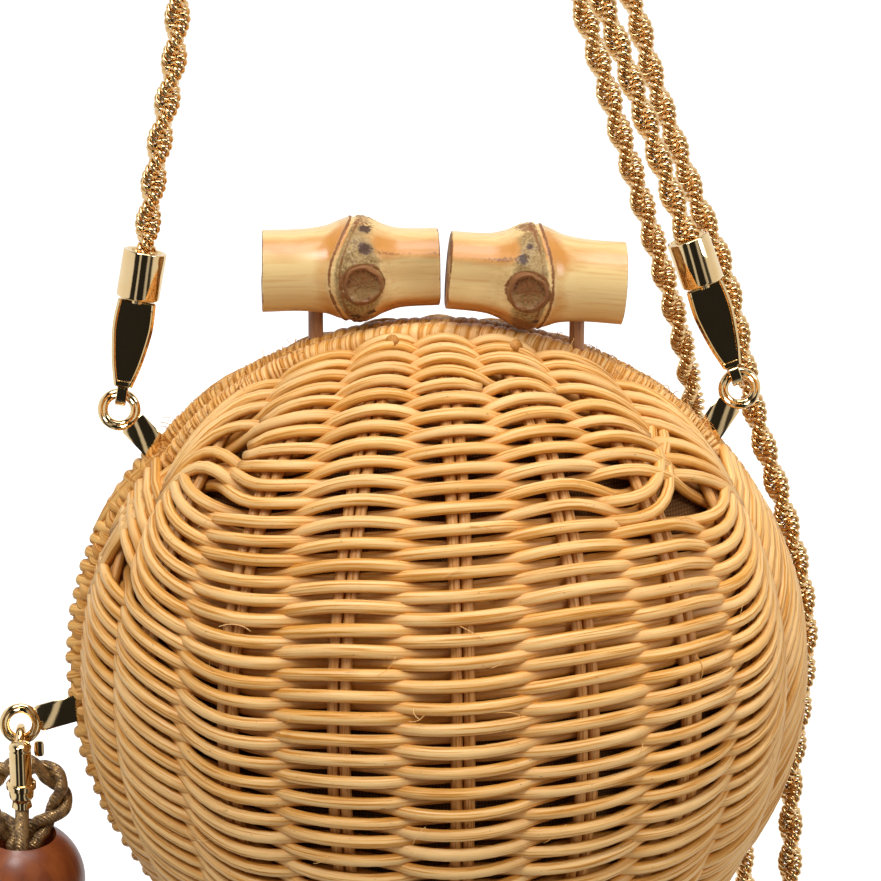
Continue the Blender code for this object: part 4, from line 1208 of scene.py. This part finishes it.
def bamboo_group():
    """Bamboo skin with fine fibres, tan bands, fibrous husk, brown ridges and scars, and black marks.

    The marks attribute says how brown, black and tan a point is, and husk how fibrous.
    """
    group, given, out = new_group(
        "bamboo_skin",
        {"Cream": (0.80, 0.57, 0.25), "Tan": (0.62, 0.27, 0.06)},
        ("Color", "Roughness", "Height"),
    )

    def read(source, *limits):
        return ranged(group, source, *limits)

    def added(first, second):
        return worked_out(group, "ADD", first, second)

    def painted(factor, below, colour):
        return mixed(group, factor, below, colour)

    lay = attribute(group, "lay")["Vector"]
    marks = new_node(group, "ShaderNodeSeparateXYZ", Vector=attribute(group, "marks")["Vector"]).outputs
    husk = attribute(group, "husk")["Fac"]
    fibre = stretched_noise(group, lay, (45, 1500, 1500), 4.0)
    cloud = stretched_noise(group, lay, (70, 240, 240), 3.0)
    grit = stretched_noise(group, lay, (1400, 1600, 1600), 3.0)
    rough_edge = read(cloud, 0.25, 0.75, -0.28, 0.28)
    torn_edge = added(rough_edge, read(grit, 0.25, 0.75, -0.25, 0.25))
    colour = painted(read(added(marks["Z"], rough_edge), 0.18, 0.85), given["Cream"], given["Tan"])
    colour = painted(read(fibre, 0.50, 0.30, 0.0, 0.40), colour, given["Tan"])
    khaki = painted(read(grit, 0.36, 0.62), (0.20, 0.105, 0.025), (0.46, 0.30, 0.11))
    colour = painted(read(added(husk, torn_edge), 0.35, 0.72), colour, khaki)
    colour = painted(read(added(marks["X"], torn_edge), 0.42, 0.72), colour, (0.24, 0.085, 0.018))
    colour = painted(read(added(marks["Y"], torn_edge), 0.45, 0.70), colour, (0.070, 0.024, 0.007))
    colour = painted(read(grit, 0.74, 0.80, 0.0, 0.6), colour, (0.10, 0.04, 0.015))
    dull = added(husk, marks["X"])
    raised = worked_out(group, "MULTIPLY", grit, read(dull, 0.0, 1.0, 0.15, 1.0))
    set_sockets(group, out, Color=colour, Roughness=read(dull, 0.0, 1.0, 0.27, 0.75), Height=raised)
    return group


bamboo = finish("bamboo", bamboo_group(), {}, 0.7, 0.0003, Coat_Weight=0.18, Coat_Roughness=0.25)

knob_shares = (0.0, 0.22, 0.36, 0.43, 0.49, 0.55, 0.61, 0.68, 0.78, 1.0)
knob_radii = (0.0098, 0.0098, 0.0105, 0.0116, 0.0124, 0.0127, 0.0121, 0.0107, 0.0095, 0.0092)
bud_share = 0.56
bud_turn = math.radians(-10.0)


def near(value, middle, width):
    """1 at the middle, falling off smoothly to 0 this far from it."""
    return 1 - eased(abs(value - middle), 0.0, width)


def ridge_share(turn, bow):
    """Where the node's ridge runs: it bows away from the bud. turn 0 is front, up is positive."""
    return 0.50 - bow * max(math.cos(turn), 0.0) ** 2 - 0.03 * max(-math.sin(turn), 0.0)


def knob_surface(share, turn, length, bow, dots):
    """(radius, marks, husk) of a knob's skin. Marks are brown, black and tan."""
    radius = smooth_reading(share, knob_shares, knob_radii)
    ridge = ridge_share(turn, bow)
    to_ridge = (share - ridge) * length
    radius += 0.00022 * near(to_ridge, 0.0, 0.0007) - 0.00030 * near(to_ridge, 0.0011, 0.0009)
    round_bud = math.hypot((share - bud_share) * length, (turn - bud_turn) * radius)
    past_bud = eased(share, bud_share, 0.70)
    flute = near(turn, bud_turn * 0.9, 0.62) * past_bud
    radius -= 0.0013 * flute * (1 - 0.35 * eased(share, 0.75, 1.0))
    radius += 0.00045 * near(turn, bud_turn * 0.9 + 0.62, 0.22) * past_bud
    radius += 0.00040 * near(turn, bud_turn * 0.9 - 0.62, 0.22) * past_bud
    far_side = 0.595 + 0.02 * math.cos(turn * 3 + 0.6)
    shoulder = eased(share, ridge + 0.01, ridge + 0.05) * (1 - eased(share, far_side, far_side + 0.11))
    husk = 0.80 * shoulder * eased(math.cos(turn), 0.25, 0.6)
    husk = max(husk, 0.42 * shoulder)
    husk *= eased(round_bud, 0.0042, 0.0048)
    radius += 0.00016 * shoulder * math.sin(turn * 23 + share * 60) * math.sin(share * 95)
    radius -= 0.0018 * (1 - eased(round_bud, 0.0038, 0.0047))
    black = 0.0
    for dot_share, dot_turn, size in dots:
        away = math.hypot((share - dot_share) * length, (turn - math.radians(dot_turn)) * radius)
        black = max(black, 0.9 * near(away, 0.0, size * 1.5))
        radius -= 0.0002 * near(away, 0.0, size)
    towards_end = 1 - 0.5 * eased(share, 0.8, 1.0)
    brown = max(
        0.9 * near(to_ridge, 0.0002, 0.0008),
        0.75 * near(to_ridge, 0.0026, 0.0006),
        0.85 * near(round_bud, 0.0050, 0.0009),
        0.7 * shoulder * eased(-math.sin(turn), 0.55, 0.85),
        0.6 * shoulder * eased(math.sin(turn), 0.80, 0.95),
        0.75 * near(share, 0.0, 0.012),
        0.75 * near(share, 1.0, 0.014),
        0.50 * near(turn, bud_turn - 0.70, 0.22) * past_bud * towards_end,
        0.46 * near(turn, bud_turn + 0.66, 0.16) * past_bud,
    )
    tan = 0.62 * near(turn, math.radians(46), 0.55) + 0.60 * near(turn, math.radians(-70), 0.55)
    tan += 0.8 * near(turn, bud_turn + 0.78, 0.34) * past_bud
    tan += 1.2 * near(turn, bud_turn - 0.76, 0.46) * past_bud
    tan += 0.5 * near(to_ridge, -0.0015, 0.004) + 0.15 * near(turn, math.radians(30), 0.5)
    tan += 0.6 * eased(-math.cos(turn), 0.0, 0.5)
    return radius, (brown, black, min(tan, 1.0)), husk


def bamboo_knob(name, centre, length, tilt, facing, bow, dots, body, node):
    """facing 1 runs its profile to the right, -1 to the left."""
    along = Vector((math.cos(tilt), 0, -math.sin(tilt))) * facing
    up = Vector((math.sin(tilt), 0, math.cos(tilt)))
    front = Vector((0, -1, 0))
    around = 144
    along_steps = 116
    bud_around = 48
    verts = []
    lay = []
    marks = []
    husks = []
    cut_slant = random.Random(len(name)).uniform(0.012, 0.02)
    rings = [(0.0, 0.25), (0.0, 0.93)]
    rings += [(0.004 + 0.992 * k / along_steps, 1.0) for k in range(along_steps + 1)]
    rings += [(1.0, 0.95), (1.0, 0.25)]
    for share, keep in rings:
        for turn in (step - math.pi for step in turns(around)):
            radius, mark, husk = knob_surface(min(max(share, 0.001), 0.999), turn, length, bow, dots)
            radius *= keep
            slant = cut_slant * math.sin(turn) * (1 - share) * 0.4
            way = (share - 0.5 + slant * (share < 0.5)) * length
            verts.append(centre + along * way + between(front, up, turn) * radius)
            lay.append((share * length + len(name) * 0.7, math.cos(turn) * radius, math.sin(turn) * radius))
            marks.append(mark if keep > 0.9 else (0.45, 0.0, 0.6))
            husks.append(husk if keep > 0.9 else 0.4)
    faces = ring_faces(0, len(rings), around) + end_faces(0, len(rings), around)
    middle = centre + along * (bud_share - 0.5) * length
    out = between(front, up, bud_turn)
    seat = 0.0127 - 0.0006
    bud = [
        (0.0002, -0.00030), (0.0008, -0.00022), (0.0014, -0.00030), (0.0020, -0.00024), (0.0026, -0.00030),
        (0.0032, -0.0002), (0.0037, 0.00012), (0.0041, 0.00040), (0.0044, 0.00030), (0.0047, -0.00010),
        (0.0049, -0.0012), (0.0049, -0.0030),
    ]
    faces += ring_faces(len(verts), len(bud), bud_around) + end_faces(len(verts), len(bud), bud_around)[:1]
    rough = random.Random(4)
    for row, ring in enumerate(lathe(middle + out * seat, out, bud, bud_around)):
        foot = middle + out * (seat + bud[row][1])
        for spoke, point in enumerate(ring):
            jolt = rough.uniform(-0.00016, 0.00016) if 0 < row < 9 else 0.0
            wander = 1 + 0.035 * math.sin(spoke * 0.39 + 1.3) + 0.02 * math.sin(spoke * 0.92)
            verts.append(foot + out * jolt + (point - foot) * wander)
            lay.append(tuple(point))
            marks.append((0.61 + 0.3 * near(row, 7.5, 1.8), 0.62 * near(row, 5.6, 1.6), 0.5))
            husks.append(0.95)
    knob = mesh_object(name, verts, faces)
    face_outwards(knob, 50.0)
    keep_vectors(knob, lay=lay, marks=marks)
    knob.data.attributes.new("husk", "FLOAT", "POINT").data.foreach_set("value", husks)
    dress(knob, bamboo, body, node)


left_knob_centre = bag_middle + Vector((-0.02035, 0.0038, 0.0961))
right_knob_centre = bag_middle + Vector((0.0233, -0.0038, 0.0951))
left_dots = ((0.575, 31, 0.0024), (0.585, 57, 0.0021), (0.61, -50, 0.0021), (0.52, -55, 0.0020))
right_dots = ((0.600, 27, 0.0022), (0.57, 42, 0.0010), (0.64, -24, 0.0008), (0.50, -50, 0.0012))
left_tilt = math.radians(-1.0)
right_tilt = math.radians(5.0)
bamboo_knob("left_bamboo", left_knob_centre, 0.0421, left_tilt, 1, 0.13, left_dots, "rear_half", "left_knob")
bamboo_knob(
    "right_bamboo", right_knob_centre, 0.0418, right_tilt, -1, 0.08, right_dots, "front_half", "right_knob"
)


# The hinge: two folded brass leaves under the rims, joined by a pin whose ends are riveted over. It is
# hidden at the bag's foot, keeps its CAD shape, and gets a brushed, slightly dulled brass.

hinge_metal = gold_material("dulled_brass", (0.50, 0.33, 0.12), (0.66, 0.47, 0.22), 0.34)
for leaf in ("rear_hinge_leaf", "front_hinge_leaf", "hinge_pin"):
    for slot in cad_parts[leaf].material_slots:
        slot.material = hinge_metal


# The snap hook: a cast hook that hangs in the charm lug's eye, with a barrel that is flanged at the foot.
# The trigger turns in the barrel, is sprung against the hook's tip, and has a thumb tab at the side.

charm_turned = Matrix.Rotation(math.radians(9.0), 4, "X")
hook_place = Matrix.Translation(charm_contact) @ charm_turned


def wire_rings(points, radius, sides=14, looped=False):
    """Rings round a line. The radius may be a list."""
    rings = []
    side = Vector((1, 0, 0))
    for i, point in enumerate(points):
        if looped:
            along = points[(i + 1) % len(points)] - points[i - 1]
        else:
            along = points[min(i + 1, len(points) - 1)] - points[max(i - 1, 0)]
        along.normalize()
        side = (side - along * side.dot(along)).normalized()
        other = along.cross(side)
        size = radius[i] if isinstance(radius, list) else radius
        rings.append([point + between(side, other, roll) * size for roll in turns(sides)])
    return rings


def placed(place, rings):
    return [[place @ point for point in ring] for ring in rings]


barrel_line = Vector((0, -0.0046, 0))
barrel = lathe(barrel_line, (0, 0, 1), [
    (0.0017, -0.0064), (0.0017, -0.0108), (0.00345, -0.0108), (0.00365, -0.0106), (0.00365, -0.0095),
    (0.0034, -0.0092), (0.0029, -0.0091), (0.0027, -0.0087), (0.0027, -0.0012), (0.00255, -0.0008),
    (0.0026, -0.0005), (0.0028, -0.0001), (0.0027, 0.0005), (0.0023, 0.0009), (0.0016, 0.0014),
    (0.0006, 0.0016),
], 48)
hook_radius = 0.0038
hook_middle = Vector((0, 0, -0.0011))
tip_turn = math.radians(-38.0)


def hook_point(turn):
    return hook_middle + between(Vector((0, 1, 0)), Vector((0, 0, 1)), turn) * hook_radius


hook_line = [Vector((0, -hook_radius, -0.0053)), Vector((0, -hook_radius, -0.0030))]
hook_line += [hook_point(math.pi + (tip_turn - math.pi) * k / 26) for k in range(27)]
hook_sizes = [0.0011] * (len(hook_line) - 3) + [0.00108, 0.00095, 0.00060]
snap_hook = solid_piece("snap_hook_casting", [
    (placed(hook_place, barrel), False),
    (placed(hook_place, wire_rings(hook_line, hook_sizes, 18)), False),
])
dress(snap_hook, polished_gold, "charm_hook", "snap_hook")

trigger_pin = Vector((0, -0.0029, -0.0060))
trigger_place = hook_place @ Matrix.Translation(trigger_pin)
tip_way = hook_point(tip_turn) - trigger_pin
tip_side = Vector((0, -tip_way.z, tip_way.y)).normalized()
trigger_reach = tip_way - tip_way.normalized() * 0.0014 - tip_side * 0.00066
lever_root = trigger_reach * 0.86
lever_length = 0.0066
lever_line = [lever_root + Vector((lever_length * k / 6, 0, 0)) for k in range(7)]
gate_line = [trigger_reach * (k / 6) for k in range(7)]
gate_sizes = [0.00070, 0.0009, 0.0009, 0.0009, 0.0009, 0.00085, 0.00060]
thumb_middle = lever_root + Vector((lever_length - 0.0024, 0, 0.0016))
thumb_half_width = 0.0012
thumb_half_height = 0.0020


def rounded(share):
    """Draws one way of a circle out, so that it becomes a square with round corners."""
    return math.copysign(abs(share) ** 0.5, share)


thumb = [
    [
        thumb_middle + Vector((
            rounded(math.cos(turn)) * size * thumb_half_width,
            y_way,
            rounded(math.sin(turn)) * (thumb_half_height - (1 - size) * thumb_half_width),
        ))
        for turn in turns(24)
    ]
    for y_way, size in ((-0.00045, 0.82), (-0.0003, 1.0), (0.0003, 1.0), (0.00045, 0.82))
]
trigger = solid_piece("snap_hook_trigger", [
    (placed(trigger_place, wire_rings(gate_line, gate_sizes, 16)), False),
    (placed(trigger_place, wire_rings(lever_line, [0.00055] + [0.0008] * 5 + [0.0005], 16)), False),
    (placed(trigger_place, thumb), False),
])
dress(trigger, polished_gold, "charm_trigger", "snap_trigger")


# The swivel: a turned piece whose shank is held in the barrel's bore, so that the charm turns. Its lower
# cup is pressed round the stem of the charm's rope.

drop_place = hook_place @ Matrix.Translation(barrel_line)
swivel = solid_piece("charm_swivel", [(placed(drop_place, lathe(Vector(), (0, 0, 1), [
    (0.0013, -0.0067), (0.0013, -0.0110), (0.0019, -0.0111), (0.0028, -0.0112), (0.0030, -0.0115),
    (0.0030, -0.0129), (0.0028, -0.0133), (0.0025, -0.0136), (0.00235, -0.0142), (0.00235, -0.0150),
    (0.0025, -0.0154), (0.0025, -0.0157), (0.0022, -0.0159), (0.0020, -0.0159), (0.0020, -0.0136),
    (0.0004, -0.0133),
], 48)), False)])
dress(swivel, polished_gold, "charm_drop", "snap_swivel")


# The charm's rope: bronze-painted cord. A straight stem hangs from the swivel into the ball, and two
# strands twisted round each other make the ring that rises out of the ball's hole.

def rope_group():
    """Cord painted bronze: metallic mottling over brown, with fine slanting threads."""
    group, given, out = new_group(
        "bronze_cord",
        {"Bronze": (0.50, 0.32, 0.14), "Brown": (0.12, 0.06, 0.03)},
        ("Color", "Metal", "Roughness", "Height"),
    )
    place = group.nodes.new("ShaderNodeTexCoord").outputs["Object"]
    mottle = new_node(group, "ShaderNodeTexNoise", Vector=place, Scale=700.0, Detail=4.0).outputs["Fac"]
    thread = new_node(group, "ShaderNodeTexWave", Vector=place, Scale=520.0, Distortion=3.0)
    thread.bands_direction = "DIAGONAL"
    painted = ranged(group, mottle, 0.36, 0.60)
    set_sockets(
        group,
        out,
        Color=mixed(group, painted, given["Brown"], given["Bronze"]),
        Metal=worked_out(group, "MULTIPLY", painted, 0.75),
        Roughness=ranged(group, painted, 0.0, 1.0, 0.55, 0.30),
        Height=worked_out(group, "ADD", mottle, thread.outputs["Fac"]),
    )
    return group


cord_paint = {"Bronze": (0.52, 0.33, 0.14), "Brown": (0.13, 0.065, 0.025)}
bronze_cord = finish("bronze_cord", rope_group(), cord_paint, 0.5, 0.0003)

stem_knots = [
    Vector((0, 0, -0.0136)), Vector((0, 0, -0.0160)),
    Vector((0, -0.0056, -0.0239)), Vector((0, -0.0056, -0.0337)),
]
stem_line = smooth_line(stem_knots, 0.0012)
stem = solid_piece("charm_stem", [(placed(drop_place, wire_rings(stem_line, 0.0017, 20)), False)])
dress(stem, bronze_cord, "charm_drop", "rope_stem")

ring_shares = (
    (0.0, 0.0), (0.61, 0.07), (1.0, 0.25), (0.96, 0.45),
    (0.59, 0.62), (0.33, 0.76), (0.28, 0.89), (0.0, 1.0),
)
ring_half_width = 0.0092
ring_height = 0.0222
ring_back = 0.0076
strand_radius = 0.00150
strand_twists = 4
ring_right = [Vector((out * ring_half_width, 0, -down * ring_height)) for out, down in ring_shares]
ring_knots = ring_right + [Vector((-point.x, 0, point.z)) for point in ring_right[-2:0:-1]]
ring_line = []
for number, knot in enumerate(ring_knots):
    ahead = ring_knots[(number + 1) % len(ring_knots)]
    beyond = ring_knots[(number + 2) % len(ring_knots)]
    ring_line += [curve_point(ring_knots[number - 1], knot, ahead, beyond, k / 14) for k in range(14)]
ring_steps = [(ring_line[(i + 1) % len(ring_line)] - point).length for i, point in enumerate(ring_line)]
ring_lean = Matrix.Rotation(-math.atan2(ring_back + 0.0006, ring_height), 4, "X")
ring_place = drop_place @ Matrix.Translation((0, ring_back, -0.0083)) @ ring_lean


def rope_strand(name, half_turn, node):
    points = []
    walked = 0.0
    for i, point in enumerate(ring_line):
        along = (ring_line[(i + 1) % len(ring_line)] - ring_line[i - 1]).normalized()
        across = Vector((along.z, 0, -along.x))
        twist = 2 * math.pi * strand_twists * walked / sum(ring_steps) + half_turn
        points.append(point + between(across, Vector((0, 1, 0)), twist) * strand_radius)
        walked += ring_steps[i]
    sizes = [strand_radius + 0.00007 * math.sin(i * 0.7 + half_turn) for i in range(len(points))]
    strand = solid_piece(name, [(placed(ring_place, wire_rings(points, sizes, 16, True)), True)])
    dress(strand, bronze_cord, "charm_drop", node)


rope_strand("first_rope_strand", 0.0, "rope_strand_1")
rope_strand("second_rope_strand", math.pi, "rope_strand_2")


# The ball: turned from a reddish hardwood, bored from the top, with an eased edge round the hole, then
# sanded and waxed to a soft shine.

ball_radius = 0.0148
hole_radius = 0.0080
hole_depth = 0.0134
ball_place = drop_place @ Matrix.Translation((0, 0, -0.0357)) @ Matrix.Rotation(math.radians(2.0), 4, "X")
hole_tilt = math.asin(hole_radius / ball_radius)
ball_profile = [
    (max(ball_radius * math.sin(tilt), 0.0003), ball_radius * math.cos(tilt))
    for tilt in (math.pi - (math.pi - hole_tilt - 0.035) * k / 40 for k in range(41))
]
rim_height = ball_radius * math.cos(hole_tilt)
ball_profile += [
    (hole_radius + 0.00012, rim_height + 0.00002), (hole_radius, rim_height - 0.0003),
    (hole_radius, ball_radius - hole_depth + 0.0004), (hole_radius - 0.0004, ball_radius - hole_depth),
    (0.0003, ball_radius - hole_depth),
]
ball_skin = placed(ball_place, lathe(Vector(), (0, 0, 1), ball_profile, 96))
ball = solid_piece("charm_ball", [(ball_skin, False)], 50.0)
red_hardwood = wood_material("red_hardwood", (0.32, 0.080, 0.018), (0.20, 0.040, 0.009), (260, 420, 70), 0.25)
dress(ball, red_hardwood, "charm_drop", "wooden_ball")
